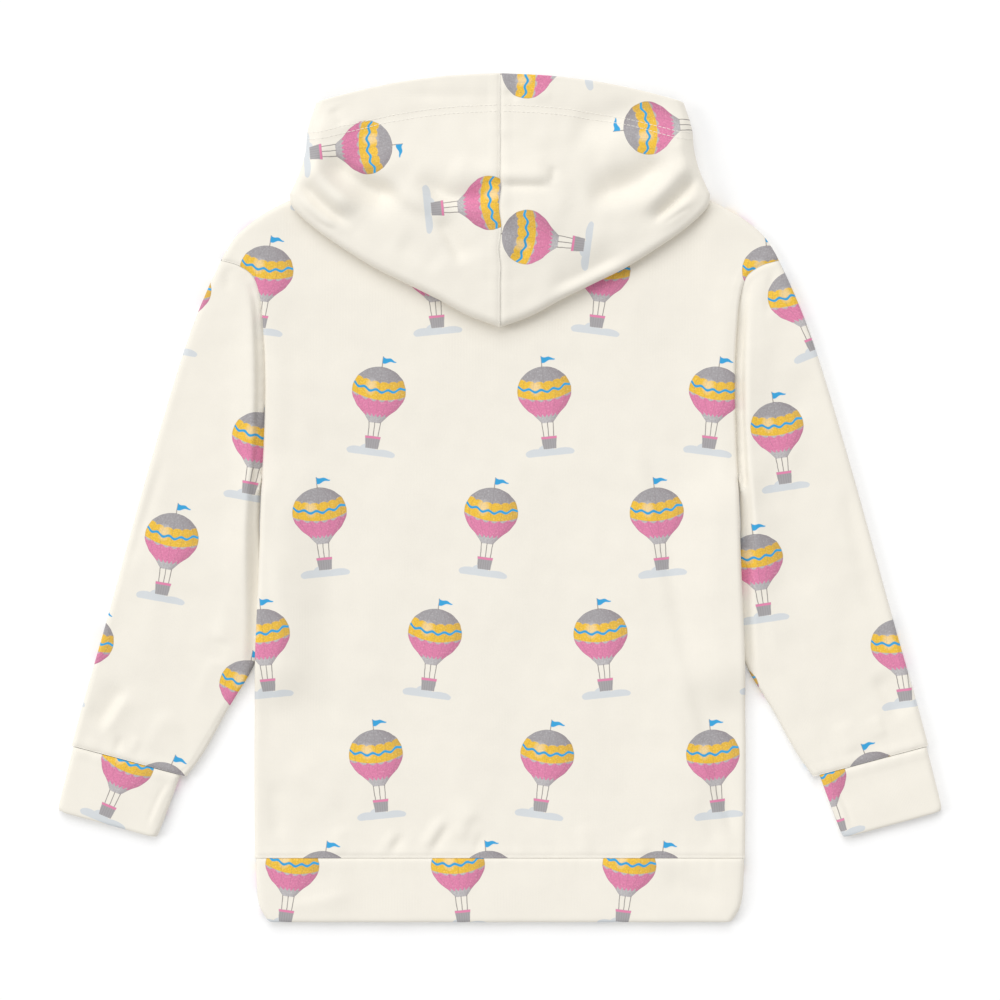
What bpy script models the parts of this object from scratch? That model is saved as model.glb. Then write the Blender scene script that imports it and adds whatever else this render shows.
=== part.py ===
"""Child's pullover hoodie of sweatshirt cloth, laid flat on its front with the hood thrown back.

Lengths are in millimetres and become metres when a mesh is made. X runs across the garment, +Y towards the
hood and +Z up from the table. The origin is on the table, under the middle of the garment's outline.
Every piece of cloth is a wall between an outer and an inner surface, both worked out on the same grid.
"""

import bmesh
import bpy
import numpy as np

METRES = 0.001

# ---------------------------------------------------------------- driving sizes
LENGTH = 644.0  # from the hem to the top of the thrown-back hood
CLOTH = 2.2  # brushed sweatshirt cloth
BAND_CLOTH = 3.2  # the waistband is folded double
CUFF_CLOTH = 3.0  # and so are the cuffs
PINCH = 0.55  # share of its thickness that the cloth loses where folds meet in a corner
HOOD_PINCH_REACH = 9.0
UNDERARM_PINCH_REACH = 30.0
SEAM = 0.3  # gap between two pieces at a seam
SLEEVE_SEAM = 1.3 * SEAM  # likewise where the seam curves, before both sides are made of straight runs
NECK_SEAM = 1.8 * SEAM
LAID_HEIGHT = 8.0  # front and back of the body, lying on each other
SLEEVE_HEIGHT = 8.4
TUCK_HEIGHT = 5.6  # the sleeve where the body lies on it
BAND_HEIGHT = 8.8
CUFF_HEIGHT = 8.0
BAND_DEPTH = 49.0  # waistband, from its seam to the hem
NECK_WIDTH = 176.0
BACK_NECK_DROP = 10.0
FRONT_NECK_DROP = 73.0

HALF_LENGTH = LENGTH / 2
BAND_SEAM_Y = -HALF_LENGTH + BAND_DEPTH
UNDERARM = (181.0, 14.0)
SHOULDER_POINT = (212.4, 181.6)
NECK_POINT = (NECK_WIDTH / 2, 248.0)

# ---------------------------------------------------------------- outlines of the right half: x, y
SIDE_SEAM = ((186.5, BAND_SEAM_Y), (187.0, -200.0), (186.0, -120.0), (183.5, -60.0), UNDERARM)
ARMHOLE = (
    UNDERARM,
    (178.6, 82.0),
    (180.0, 125.0),
    (182.0, 150.0),
    (186.5, 167.5),
    (197.5, 177.0),
    SHOULDER_POINT,
)
SHOULDER_SEAM = (
    SHOULDER_POINT,
    (203.7, 196.8),
    (187.3, 212.0),
    (160.0, 227.5),
    (125.0, 238.5),
    NECK_POINT,
)
BACK_NECK = (NECK_POINT, (52.0, 241.0), (0.0, NECK_POINT[1] - BACK_NECK_DROP))
FRONT_NECK = (
    NECK_POINT,
    (84.0, 222.0),
    (66.0, 195.0),
    (36.0, 179.0),
    (0.0, NECK_POINT[1] - FRONT_NECK_DROP),
)
SLEEVE_OUTER = (
    SHOULDER_POINT,
    (223.0, 158.8),
    (235.2, 128.4),
    (250.0, 82.8),
    (272.1, 6.8),
    (297.2, -84.4),
    (318.8, -160.4),
    (326.0, -187.5),
)
SLEEVE_INNER = (
    UNDERARM,
    (184.6, -2.0),
    (185.0, -24.0),
    (181.0, -50.0),
    (177.5, -76.0),
    (179.5, -104.0),
    (189.0, -130.0),
    (207.5, -160.4),
    (224.2, -190.8),
    (238.3, -211.0),
)
CUFF_OUTER = ((324.6, -188.2), (331.0, -213.5), (336.0, -234.5), (334.0, -238.3))
CUFF_INNER = ((243.2, -210.0), (252.0, -234.0), (260.0, -254.5), (263.0, -257.6))
BAND_SIDE = (
    (186.0, BAND_SEAM_Y - SEAM),
    (185.0, -297.0),
    (182.6, -311.0),
    (176.0, -HALF_LENGTH),
)
HOOD_LOWER_EDGE = (
    (0.0, 131.0),
    (14.0, 135.0),
    (47.0, 152.5),
    (100.0, 179.0),
    (122.4, 193.8),
    (142.0, 207.5),
    (156.5, 222.0),
    (159.0, 231.0),
)
HOOD_SIDE_FOLD = ((159.0, 231.0), (151.0, 248.0), (146.5, 265.0), (144.8, 281.0), (138.6, 301.0))
HOOD_TOP_EDGE = (
    (0.0, HALF_LENGTH),
    (42.6, 319.8),
    (82.0, 314.5),
    (112.0, 308.0),
    (138.6, 301.0),
)
HOOD_FRONT_EDGE = ((138.6, 301.0), (95.0, 276.0), (48.0, 234.0), (0.0, 198.0))

# The hood's cloth comes down over the shoulder seam along this line, from the neck to the hood's side.
HOOD_TURN = ((88.0, 254.0), (159.0, 231.0))

# Where the hood's edge goes round the neck point, in front of that line: share of the way, x, y
HOOD_NECK_FAN = (
    (0.15, 89.5, 258.8),
    (0.22, 87.3, 259.6),
    (0.30, 84.5, 258.4),
    (0.40, 82.6, 255.0),
    (0.50, 82.5, 250.5),
)

# The hood's front layer, from its back edge to the centre front: share of the way,
# point it passes over (x, y), share of the face opening's front edge where it ends
HOOD_FRONT_FAN = (
    (0.000, 159.0, 231.0, 0.00),
    (0.150, 147.0, 248.0, 0.05),
    (0.220, 106.0, 276.0, 0.17),
    (0.300, 86.0, 264.0, 0.33),
    (0.400, 80.5, 257.8, 0.42),
    (0.500, 77.0, 251.2, 0.50),
    (0.625, 71.0, 230.0, 0.61),
    (0.750, 56.0, 211.0, 0.72),
    (1.000, 0.0, 186.0, 1.00),
)

# ---------------------------------------------------------------- heights
# The body rises over the sleeves that are tucked under its sides.
TUCK_LIFT = 6.3
TUCK_LIFT_ACROSS = (125.0, 168.0)  # |x| where the rise begins and ends
TUCK_LIFT_TOP = (36.0, -14.0)  # y where it begins and is full
TUCK_LIFT_FOOT = (-166.0, -124.0)

# Middle of the hood's wall above the table, down its centre: y, height
HOOD_PROFILE = (
    (131.0, 19.8),
    (160.0, 22.5),
    (200.0, 26.0),
    (235.0, 25.5),
    (262.0, 22.5),
    (290.0, 20.0),
    (322.0, 18.6),
)
HOOD_SIDE_HEIGHT = 12.5  # the lowest that the same wall gets towards its side fold
HOOD_SIDE_SHARE = 0.35  # how much of the centre's height above that is left there
HOOD_HALF_WIDTH = 159.0
UNDER_LAYER = LAID_HEIGHT + 0.5 + CLOTH / 2  # hood cloth that lies on the back
FRONT_LAYER = CLOTH / 2  # hood cloth that lies on the table
# The fold along the hood's lower edge and up its side: share of the way, height of its middle, radius
HOOD_FOLD = (
    (0.00, 14.7, 5.0),
    (0.50, 13.8, 4.4),
    (0.64, 13.0, 3.6),
    (0.72, 10.6, 3.6),
    (0.80, 8.2, 5.0),
    (1.00, 7.5, 5.0),
)
# The turn over the shoulder seam and up the side, likewise
HOOD_DROP = (
    (0.00, 5.4, 5.0),
    (0.30, 5.8, 5.0),
    (0.42, 7.8, 5.0),
    (0.50, 10.6, 4.6),
    (0.60, 8.2, 5.0),
    (1.00, 7.5, 5.0),
)

# Largest folds. Each row: points of the crest or trough, width either side, height (negative is a trough)
FOLD_FADE = 0.25  # share of its length over which a fold rises at either end
FOLD_START = 0.15  # share of its height that it has at its very end
FOLDS_INSET = 14.0  # folds are at full height this far in from the lines where the cloth is folded
FOLDS_SEAM_INSET = 12.0  # and this far from the waistband's seam
SLEEVE_FOLDS_INSET = 10.0
SLEEVE_FOLDS_SEAM_INSET = 5.0
BACK_FOLDS = (
    (((118.0, -120.0), (140.0, -165.0), (172.0, -212.0)), 13.0, 3.2),
    (((150.0, -118.0), (168.0, -150.0)), 10.0, -1.6),
    (((-64.0, -262.0), (-46.0, -238.0)), 9.0, 2.6),
    (((-30.0, -264.0), (-18.0, -246.0)), 8.0, 1.8),
    (((96.0, 60.0), (112.0, -40.0)), 16.0, 1.6),
    (((-150.0, -190.0), (-120.0, -240.0)), 12.0, 1.8),
)
SLEEVE_FOLDS = (
    (((196.0, 168.0), (193.0, 110.0), (197.0, 50.0)), 6.0, 1.8),
    (((300.0, -162.0), (276.0, -128.0)), 12.0, -2.2),
    (((286.0, -172.0), (262.0, -150.0)), 10.0, 1.6),
    (((226.0, 70.0), (214.0, 10.0), (218.0, -40.0)), 12.0, 1.2),
)
HOOD_FOLDS_RIGHT = (
    (((142.0, 258.0), (126.0, 251.0), (108.0, 243.0), (84.0, 232.0), (60.0, 224.0)), 8.0, -4.4),
    (((144.0, 256.0), (134.0, 236.0), (118.0, 224.0), (98.0, 212.0)), 7.0, 2.6),
    (((104.0, 284.0), (90.0, 264.0), (66.0, 252.0)), 16.0, 2.4),
    (((46.0, 287.0), (104.0, 285.0)), 7.0, -1.4),
    (((0.0, 241.0), (22.0, 241.5), (46.0, 240.0)), 5.0, 1.8),
    (((36.0, 172.0), (68.0, 181.0), (104.0, 197.0)), 9.0, -3.0),
    (((150.0, 236.0), (134.0, 222.0), (118.0, 211.0)), 4.5, -2.2),
)
HOOD_FOLDS_LEFT = (
    (((134.0, 262.0), (124.0, 246.0), (104.0, 234.0), (84.0, 226.0), (62.0, 218.0)), 8.5, -5.0),
    (((142.0, 262.0), (134.0, 238.0), (118.0, 220.0), (100.0, 209.0)), 7.0, 2.8),
    (((90.0, 284.0), (89.0, 258.0), (78.0, 237.0), (54.0, 224.0), (30.0, 215.0)), 9.0, 2.2),
    (((66.0, 246.0), (50.0, 232.0), (30.0, 227.0), (0.0, 231.0)), 7.0, -2.8),
    (((150.0, 236.0), (140.0, 224.0), (120.0, 209.0)), 4.5, -2.4),
)

CREAM = (0.88, 0.85, 0.76, 1.0)


# ---------------------------------------------------------------- curves and patches
def smooth(t):
    t = np.clip(t, 0.0, 1.0)
    return t * t * (3.0 - 2.0 * t)


def spline(points, shares):
    """Points at these shares of the length of a smooth curve through the given points."""
    p = np.asarray(points, float)
    p = np.vstack([2 * p[0] - p[1], p, 2 * p[-1] - p[-2]])
    steps = np.linspace(0.0, 1.0, 25)[:, None]
    fine = []
    for a, b, c, d in zip(p, p[1:], p[2:], p[3:]):
        fine.append(
            0.5
            * (
                2 * b
                + (c - a) * steps
                + (2 * a - 5 * b + 4 * c - d) * steps**2
                + (3 * b - a - 3 * c + d) * steps**3
            )
        )
    fine = np.vstack(fine)
    run = np.concatenate([[0.0], np.cumsum(np.linalg.norm(np.diff(fine, axis=0), axis=1))])
    at = np.asarray(shares, float) * run[-1]
    return np.stack([np.interp(at, run, fine[:, k]) for k in range(fine.shape[1])], axis=-1)


def table(rows, at, column):
    """A column of a table, read smoothly at positions given in the table's first column."""
    rows = np.asarray(rows, float)
    keys, values = rows[:, 0], rows[:, column]
    slopes = np.gradient(values, keys)
    at = np.clip(at, keys[0], keys[-1])
    k = np.clip(np.searchsorted(keys, at, side="right") - 1, 0, len(keys) - 2)
    span = keys[k + 1] - keys[k]
    t = (at - keys[k]) / span
    rise = values[k + 1] - values[k]
    start, end = slopes[k] * span, slopes[k + 1] * span
    return values[k] + t * start + t**2 * (3 * rise - 2 * start - end) + t**3 * (start + end - 2 * rise)


def patch(near, far, left, right, across, along, cling=1):
    """A grid of points filling the area between four edges, rows from near to far.

    The bends of the left and right edge fade towards the other edge, the sooner the larger cling is.
    """
    a, b = np.asarray(across)[None, :, None], np.asarray(along)[:, None, None]
    ruled = (1 - b) * near[None] + b * far[None]
    left_bend, right_bend = left[:, None] - ruled[:, :1], right[:, None] - ruled[:, -1:]
    return ruled + (1 - a) ** cling * left_bend + a**cling * right_bend


def nearest(points, line):
    """Distance from each point to a line of points, the share of the line's length there, and the foot."""
    p = np.asarray(points)[..., None, :]
    start, step = line[:-1], np.diff(line, axis=0)
    length = np.linalg.norm(step, axis=1)
    t = np.clip(((p - start) * step).sum(-1) / length**2, 0.0, 1.0)
    foot = start + t[..., None] * step
    distance = np.linalg.norm(p - foot, axis=-1)
    k = distance.argmin(-1)[..., None]
    run = np.concatenate([[0.0], np.cumsum(length)])
    share = (run[k] + np.take_along_axis(t, k, -1) * length[k]) / run[-1]
    foot = np.take_along_axis(foot, k[..., None], -2)[..., 0, :]
    return np.take_along_axis(distance, k, -1)[..., 0], share[..., 0], foot


def mirrored(points):
    return np.asarray(points) * ((-1.0, 1.0) + (1.0,) * (np.shape(points)[-1] - 2))


def relief(folds, points):
    """Height that a table of folds adds at each point."""
    height = np.zeros(points.shape[:-1])
    for path, width, rise in folds:
        distance, share, _ = nearest(points, spline(path, np.linspace(0, 1, 13)))
        ends = smooth(share / FOLD_FADE) * smooth((1 - share) / FOLD_FADE)
        height += rise * np.exp(-((distance / width) ** 2)) * (FOLD_START + (1 - FOLD_START) * ends)
    return height


# ---------------------------------------------------------------- cloth that lies in two layers
def roundness(share_of_radius):
    """Height of a round fold's side, as a share of its radius, this far in from its outermost line."""
    return np.sqrt(1.0 - (1.0 - np.clip(share_of_radius, 0.0, 1.0)) ** 2)


def layer(points, fold_lines, middle, half, side, cloth, centre):
    """Outer and inner surface of one layer, above (side 1) or below (side -1) the middle of laid cloth.

    The layer closes round each fold line towards the middle. centre is a point well inside the piece.
    """
    distance = np.full(points.shape[:-1], np.inf)
    inward = np.zeros(points.shape)
    for line in fold_lines:
        d, _, foot = nearest(points, line)
        closer = d < distance
        tangent, share = np.gradient(line, axis=0), nearest(foot, line)[1]
        along = np.linspace(0, 1, len(line))
        run = np.concatenate([[0], np.cumsum(np.linalg.norm(np.diff(line, axis=0), axis=1))])
        at = np.interp(share * run[-1], run, along) * (len(line) - 1)
        t = np.stack([np.interp(at, np.arange(len(line)), tangent[:, k]) for k in (0, 1)], -1)
        normal = np.stack([-t[..., 1], t[..., 0]], -1) / np.linalg.norm(t, axis=-1, keepdims=True)
        facing = np.sign(((np.asarray(centre) - foot) * normal).sum(-1))[..., None]
        inward = np.where(closer[..., None], normal * facing, inward)
        distance = np.where(closer, d, distance)
    close = roundness(distance / half)
    inset = cloth * np.clip(1.0 - distance / half, 0.0, 1.0)
    outer = np.concatenate([points, (middle + side * half * close)[..., None]], -1)
    inner_xy = points + inward * inset[..., None]
    inner = np.concatenate([inner_xy, (middle + side * (half - cloth) * close)[..., None]], -1)
    return outer, inner


def tube(points, fold_lines, middle, half, cloth, centre):
    """Outer and inner rings of laid cloth sewn into a tube: the upper layer, then back along the lower."""
    upper = layer(points, fold_lines, middle, half, 1, cloth, centre)
    lower = layer(points, fold_lines, middle, half, -1, cloth, centre)
    return [np.concatenate([u, d[:, -2:0:-1]], axis=1) for u, d in zip(upper, lower)]


# ---------------------------------------------------------------- sampling
ARMHOLE_SHARES = (0, 0.012, 0.035, 0.07, 0.16, 0.27, 0.38, 0.50, 0.62, 0.73, 0.84, 0.93, 0.965, 0.988, 1)
SIDE_SHARES = np.linspace(0, 1, 12)
SHOULDER_SHARES = np.array((0, 0.012, 0.035, 0.16, 0.37, 0.58, 0.79, 1))
NECK_SHARES = np.array((0, 0.03, 0.2, 0.4, 0.6, 0.8, 1))
NECK_START = 0.5  # share of the body's half width where the columns that end on the neck begin
BODY_CLING = 8  # the bend of an armhole stays close to it
BODY_CENTRE = (0.0, 0.0)


def body_rise(points):
    """How far the body lies above the table, because of the sleeves under its sides."""
    x, y = np.abs(points[..., 0]), points[..., 1]
    across = smooth((x - TUCK_LIFT_ACROSS[0]) / (TUCK_LIFT_ACROSS[1] - TUCK_LIFT_ACROSS[0]))
    top = smooth((y - TUCK_LIFT_TOP[0]) / (TUCK_LIFT_TOP[1] - TUCK_LIFT_TOP[0]))
    foot = smooth((y - TUCK_LIFT_FOOT[0]) / (TUCK_LIFT_FOOT[1] - TUCK_LIFT_FOOT[0]))
    return TUCK_LIFT * across * top * foot


def body_grid(neckline):
    """Points of the front or back: rows from the waistband to the shoulders, columns from left to right."""
    side = spline(SIDE_SEAM, SIDE_SHARES)
    armhole = spline(ARMHOLE, ARMHOLE_SHARES)
    right = np.vstack([side[:-1], armhole])
    run = np.concatenate([[0], np.cumsum(np.linalg.norm(np.diff(right, axis=0), axis=1))])
    along = run / run[-1]
    shoulder = spline(SHOULDER_SEAM, SHOULDER_SHARES)
    neck = spline(neckline, NECK_SHARES)
    right_top = np.vstack([shoulder[:-1], neck])
    top = np.vstack([mirrored(right_top), right_top[-2::-1]])
    half_width = SIDE_SEAM[0][0]
    neck_start = half_width * NECK_START
    shoulder_x = half_width - (half_width - neck_start) * SHOULDER_SHARES
    right_bottom = np.concatenate([shoulder_x[:-1], neck_start * (1 - NECK_SHARES)])
    bottom_x = np.concatenate([-right_bottom, right_bottom[-2::-1]])
    bottom = np.stack([bottom_x, np.full(len(bottom_x), BAND_SEAM_Y)], -1)
    across = (bottom_x + half_width) / (2 * half_width)
    return patch(bottom, top, mirrored(right), right, across, along, cling=BODY_CLING)


def body_fold_lines():
    """Side and shoulder lines, right then left, where the front and the back meet."""
    lines = [spline(SIDE_SEAM, SIDE_SHARES), spline(SHOULDER_SEAM, SHOULDER_SHARES)]
    return lines + [mirrored(line) for line in lines]


def back_panel():
    points = body_grid(BACK_NECK)
    half = LAID_HEIGHT / 2 - SEAM / 2
    middle = body_rise(points) + half + SEAM
    distance = np.min([nearest(points, line)[0] for line in body_fold_lines()], axis=0)
    from_band = points[..., 1] - BAND_SEAM_Y
    folds = relief(BACK_FOLDS, points) * smooth(distance / FOLDS_INSET) * smooth(from_band / FOLDS_SEAM_INSET)
    outer, inner = layer(points, body_fold_lines(), middle, half, 1, CLOTH, BODY_CENTRE)
    for surface in (outer, inner):
        surface[..., 2] += folds
    return outer, inner


def front_panel():
    points = body_grid(FRONT_NECK)
    half = LAID_HEIGHT / 2 - SEAM / 2
    middle = body_rise(points) + half
    return layer(points, body_fold_lines(), middle, half, -1, CLOTH, BODY_CENTRE)


# ---------------------------------------------------------------- sleeves, cuffs and waistband
SLEEVE_ROWS = np.concatenate([(0, 0.025), np.linspace(0.065, 1, 14)])
ACROSS_SLEEVE = 1 - np.array(ARMHOLE_SHARES[::-1])
SLEEVE_CENTRE = (250.0, -20.0)
ARMHOLE_REACH = 26.0  # from the armhole to where the sleeve lies on the table
TUCK_START = 1.0  # from the body's side to where the tucked part of the sleeve begins to rise
TUCK_REACH = 20.0  # and over which it rises
TUCK_DROP = 24.0  # below the underarm, over which the body comes to lie on it


def sleeve():
    """The right sleeve: rings from the armhole down to the cuff."""
    armhole = spline(ARMHOLE, ARMHOLE_SHARES)[::-1]
    tangent = np.gradient(armhole, axis=0)
    outward = np.stack([-tangent[:, 1], tangent[:, 0]], -1) / np.linalg.norm(tangent, axis=1)[:, None]
    top = armhole + outward * SLEEVE_SEAM
    outer_edge = spline((top[0],) + SLEEVE_OUTER[1:], SLEEVE_ROWS)
    inner_edge = spline((top[-1],) + SLEEVE_INNER[1:], SLEEVE_ROWS)
    cuff_end = spline((SLEEVE_OUTER[-1], SLEEVE_INNER[-1]), ACROSS_SLEEVE)
    points = patch(top, cuff_end, outer_edge, inner_edge, ACROSS_SLEEVE, SLEEVE_ROWS)
    from_armhole, share, _ = nearest(points, top)
    near_armhole = 1 - smooth(from_armhole / ARMHOLE_REACH)
    seam_rise = body_rise(spline(ARMHOLE[::-1], share))
    side_x = np.interp(points[..., 1], *np.array(SIDE_SEAM + ARMHOLE[1:4]).T[::-1])
    under_body = 1 - smooth((points[..., 0] - side_x - TUCK_START) / TUCK_REACH)
    tucked = under_body * smooth((UNDERARM[1] - points[..., 1]) / TUCK_DROP)
    height = SLEEVE_HEIGHT - (SLEEVE_HEIGHT - TUCK_HEIGHT) * tucked
    height -= (height - LAID_HEIGHT) * near_armhole * (1 - tucked)
    rise = seam_rise * near_armhole * (1 - tucked)
    fold_lines = [outer_edge, inner_edge]
    edge = np.min([nearest(points, line)[0] for line in fold_lines], axis=0)
    folds = relief(SLEEVE_FOLDS, points) * smooth(edge / SLEEVE_FOLDS_INSET) * (1 - tucked)
    folds = folds * smooth(from_armhole / SLEEVE_FOLDS_SEAM_INSET)
    cloth = pinched(points, UNDERARM, UNDERARM_PINCH_REACH)
    outer, inner = tube(points, fold_lines, rise + height / 2, height / 2, cloth, SLEEVE_CENTRE)
    columns = points.shape[1]
    for surface in (outer, inner):
        surface[:, 1 : columns - 1, 2] += folds[:, 1:-1]
    return outer, inner


ACROSS_CUFF = np.array((0, 0.012, 0.035, 0.08, 0.2, 0.35, 0.5, 0.65, 0.8, 0.92, 0.965, 0.988, 1))
CUFF_ROWS = np.array((0, 0.25, 0.5, 0.75, 0.93, 1))
CUFF_CENTRE = (290.0, -225.0)


def cuff():
    """The right cuff: rings from the sleeve's end to the wrist."""
    outer_edge, inner_edge = spline(CUFF_OUTER, CUFF_ROWS), spline(CUFF_INNER, CUFF_ROWS)
    top = spline((CUFF_OUTER[0], CUFF_INNER[0]), ACROSS_CUFF)
    wrist = spline((CUFF_OUTER[-1], CUFF_INNER[-1]), ACROSS_CUFF)
    points = patch(top, wrist, outer_edge, inner_edge, ACROSS_CUFF, CUFF_ROWS)
    half = np.full(points.shape[:-1], CUFF_HEIGHT / 2)
    return tube(points, [outer_edge, inner_edge], half, half, CUFF_CLOTH, CUFF_CENTRE)


ACROSS_BAND = np.concatenate([(0, 0.003, 0.009, 0.02), np.linspace(0.06, 0.94, 15), (0.98, 0.991, 0.997, 1)])
BAND_ROWS = np.array((0, 0.3, 0.55, 0.75, 0.9, 1))
BAND_CENTRE = (0.0, BAND_SEAM_Y - BAND_DEPTH / 2)


def waistband():
    """The waistband: rings from its seam to the hem."""
    right = spline(BAND_SIDE, BAND_ROWS)
    top = spline((mirrored(BAND_SIDE[0]), BAND_SIDE[0]), ACROSS_BAND)
    hem = spline((mirrored(BAND_SIDE[-1]), BAND_SIDE[-1]), ACROSS_BAND)
    points = patch(top, hem, mirrored(right), right, ACROSS_BAND, BAND_ROWS)
    half = np.full(points.shape[:-1], BAND_HEIGHT / 2)
    return tube(points, [mirrored(right), right], half, half, BAND_CLOTH, BAND_CENTRE)


# ---------------------------------------------------------------- hood
BACK_OF_HOOD = np.array((0, 0.13, 0.27, 0.41, 0.55, 0.69, 0.81, 0.90, 0.955, 0.98, 0.993, 1))
FRONT_OF_HOOD = np.array((0.03, 0.075, 0.15, 0.22, 0.30, 0.40, 0.5, 0.625, 0.75, 5 / 6, 11 / 12, 1))
TURN_OFFSETS = np.array((-5.0, -2.4, -0.9, 0.0, 1.0, 2.5))  # columns behind the turn and in front of it
NECKLINE_SHARES = ((0.5, 0.75, 1), (0, 0.4, 1))  # share of the hood's front, share of the front neckline
HOOD_SIDE_START = 0.04  # the side fold's line begins this share up from the lower edge's line
SIDE_BOW_SHARE = 0.3  # share of the hood's front over which the bend of its side fades
LINE_POINTS = 40  # along the lines of the hood's folds
UNDER_ROWS = np.array((0, 0.25, 0.5, 0.75, 0.94, 0.975, 0.993))
SHOWN_ROWS = np.concatenate([(0, 0.005, 0.015, 0.032), np.linspace(0.08, 0.53, 7), (0.6, 0.68, 0.77, 0.88, 1)])


def hood_height(points):
    """Middle of the wall of the hood's shown layer, before it turns down at its folds."""
    x, y = np.abs(points[..., 0]), points[..., 1]
    crown = table(HOOD_PROFILE, y, 1)
    outward = smooth(x / HOOD_HALF_WIDTH)
    side = HOOD_SIDE_HEIGHT + (crown - HOOD_SIDE_HEIGHT) * HOOD_SIDE_SHARE
    return crown + (side - crown) * outward


def columns_at(rows, at):
    """The other columns of a table, read along straight lines at positions given in its first column."""
    keys, *columns = np.array(rows).T
    return [np.interp(at, keys, column) for column in columns]


def hood_neck_edge():
    """The right half's edge along the neck seam, from the centre back round the neck to the centre front."""
    start, end = np.array(HOOD_TURN)
    along = (end - start) / np.linalg.norm(end - start)
    turn = start + TURN_OFFSETS[:, None] * (-along[1], along[0])
    back = spline(BACK_NECK[::-1], BACK_OF_HOOD[: -np.count_nonzero(TURN_OFFSETS <= 0)])
    fan = np.array(HOOD_NECK_FAN)[:, 1:]
    placed = np.count_nonzero(TURN_OFFSETS > 0) + len(fan)
    on_neckline = spline(FRONT_NECK, np.interp(FRONT_OF_HOOD, *NECKLINE_SHARES)[placed:])
    tangent = np.gradient(np.vstack([FRONT_NECK[0], on_neckline]), axis=0)[1:]
    inward = np.stack([tangent[:, 1], -tangent[:, 0]], -1) / np.linalg.norm(tangent, axis=1)[:, None]
    return np.vstack([back, turn, fan, on_neckline + inward * NECK_SEAM])


def pinched(points, corner, reach):
    """Thickness of the cloth, which is pressed thinner close to a corner where its folds meet."""
    distance = np.linalg.norm(points[..., :2] - corner, axis=-1)
    return CLOTH * (1 - PINCH * np.exp(-((distance / reach) ** 2)))


def rounding(points, line, heights):
    """Height of a round fold's middle nearest each point, and how far the cloth has opened from it."""
    distance, share, _ = nearest(points, line)
    middle, radius = columns_at(heights, share)
    return middle, roundness(distance / radius)


def hood(folds):
    """Middle of the right half's wall: rows from the neck seam to the face opening, columns back to front."""
    neck, front_neck = np.split(hood_neck_edge(), [len(BACK_OF_HOOD)])
    lower, top = spline(HOOD_LOWER_EDGE, BACK_OF_HOOD), spline(HOOD_TOP_EDGE, BACK_OF_HOOD)
    side_line = spline(HOOD_SIDE_FOLD, np.linspace(HOOD_SIDE_START, 1, LINE_POINTS))
    fold_line = np.vstack([spline(HOOD_LOWER_EDGE, np.linspace(0, 1, LINE_POINTS)), side_line])
    turn_line = np.vstack([spline(HOOD_TURN, np.linspace(0, 1, LINE_POINTS)), side_line])

    under = (1 - UNDER_ROWS)[:, None, None] * neck + UNDER_ROWS[:, None, None] * lower
    fold_middle, fold_open = rounding(under, fold_line, HOOD_FOLD)
    turn_middle, turn_open = rounding(under, turn_line, HOOD_DROP)
    under_z = UNDER_LAYER + (fold_middle - UNDER_LAYER) * (1 - fold_open)
    under_z += (turn_middle - UNDER_LAYER) * (1 - turn_open) * fold_open

    centre_line = spline((HOOD_LOWER_EDGE[0], HOOD_TOP_EDGE[0]), SHOWN_ROWS)
    shown = patch(lower, top, centre_line, spline(HOOD_SIDE_FOLD, SHOWN_ROWS), BACK_OF_HOOD, SHOWN_ROWS)
    fold_middle, fold_open = rounding(shown, fold_line, HOOD_FOLD)
    from_fold = nearest(shown, fold_line)[0]
    height = hood_height(shown) + relief(folds, shown) * smooth(from_fold / FOLDS_INSET)
    shown_z = fold_middle + (height - fold_middle) * fold_open

    turn_x, turn_y, edge_share = columns_at(HOOD_FRONT_FAN, FRONT_OF_HOOD)
    turning = np.stack([turn_x, turn_y], -1)
    edge = spline(HOOD_FRONT_EDGE, edge_share)
    near_rows = (1 - UNDER_ROWS)[:, None, None] * front_neck + UNDER_ROWS[:, None, None] * turning
    straight_side = spline((HOOD_SIDE_FOLD[0], HOOD_SIDE_FOLD[-1]), SHOWN_ROWS)
    side_bow = spline(HOOD_SIDE_FOLD, SHOWN_ROWS) - straight_side
    far_rows = (1 - SHOWN_ROWS)[:, None, None] * turning + SHOWN_ROWS[:, None, None] * edge
    far_rows = far_rows + side_bow[:, None] * (1 - smooth(FRONT_OF_HOOD / SIDE_BOW_SHARE))[None, :, None]
    front = np.vstack([near_rows, far_rows])
    turn_middle, turn_open = rounding(front, turn_line, HOOD_DROP)
    front_z = turn_middle - (turn_middle - FRONT_LAYER) * turn_open

    back = np.concatenate([np.vstack([under, shown]), np.vstack([under_z, shown_z])[..., None]], -1)
    front = np.concatenate([front, front_z[..., None]], -1)
    middle_surface = np.concatenate([back, front], axis=1)
    for column in (0, -1):
        middle_surface[:, column, 0] = SEAM / 2
    return middle_surface


def thickened(middle_surface):
    """Outer and inner surface half the cloth's thickness either side of its middle."""
    cloth = pinched(middle_surface, HOOD_TURN[1], HOOD_PINCH_REACH)[..., None]
    down, across = np.gradient(middle_surface, axis=0), np.gradient(middle_surface, axis=1)
    normal = np.cross(across, down)
    normal[:, (0, -1), 0] = 0.0  # the cut edges at the centre stay in their plane
    normal /= np.linalg.norm(normal, axis=-1, keepdims=True)
    return middle_surface + normal * cloth / 2, middle_surface - normal * cloth / 2


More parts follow.
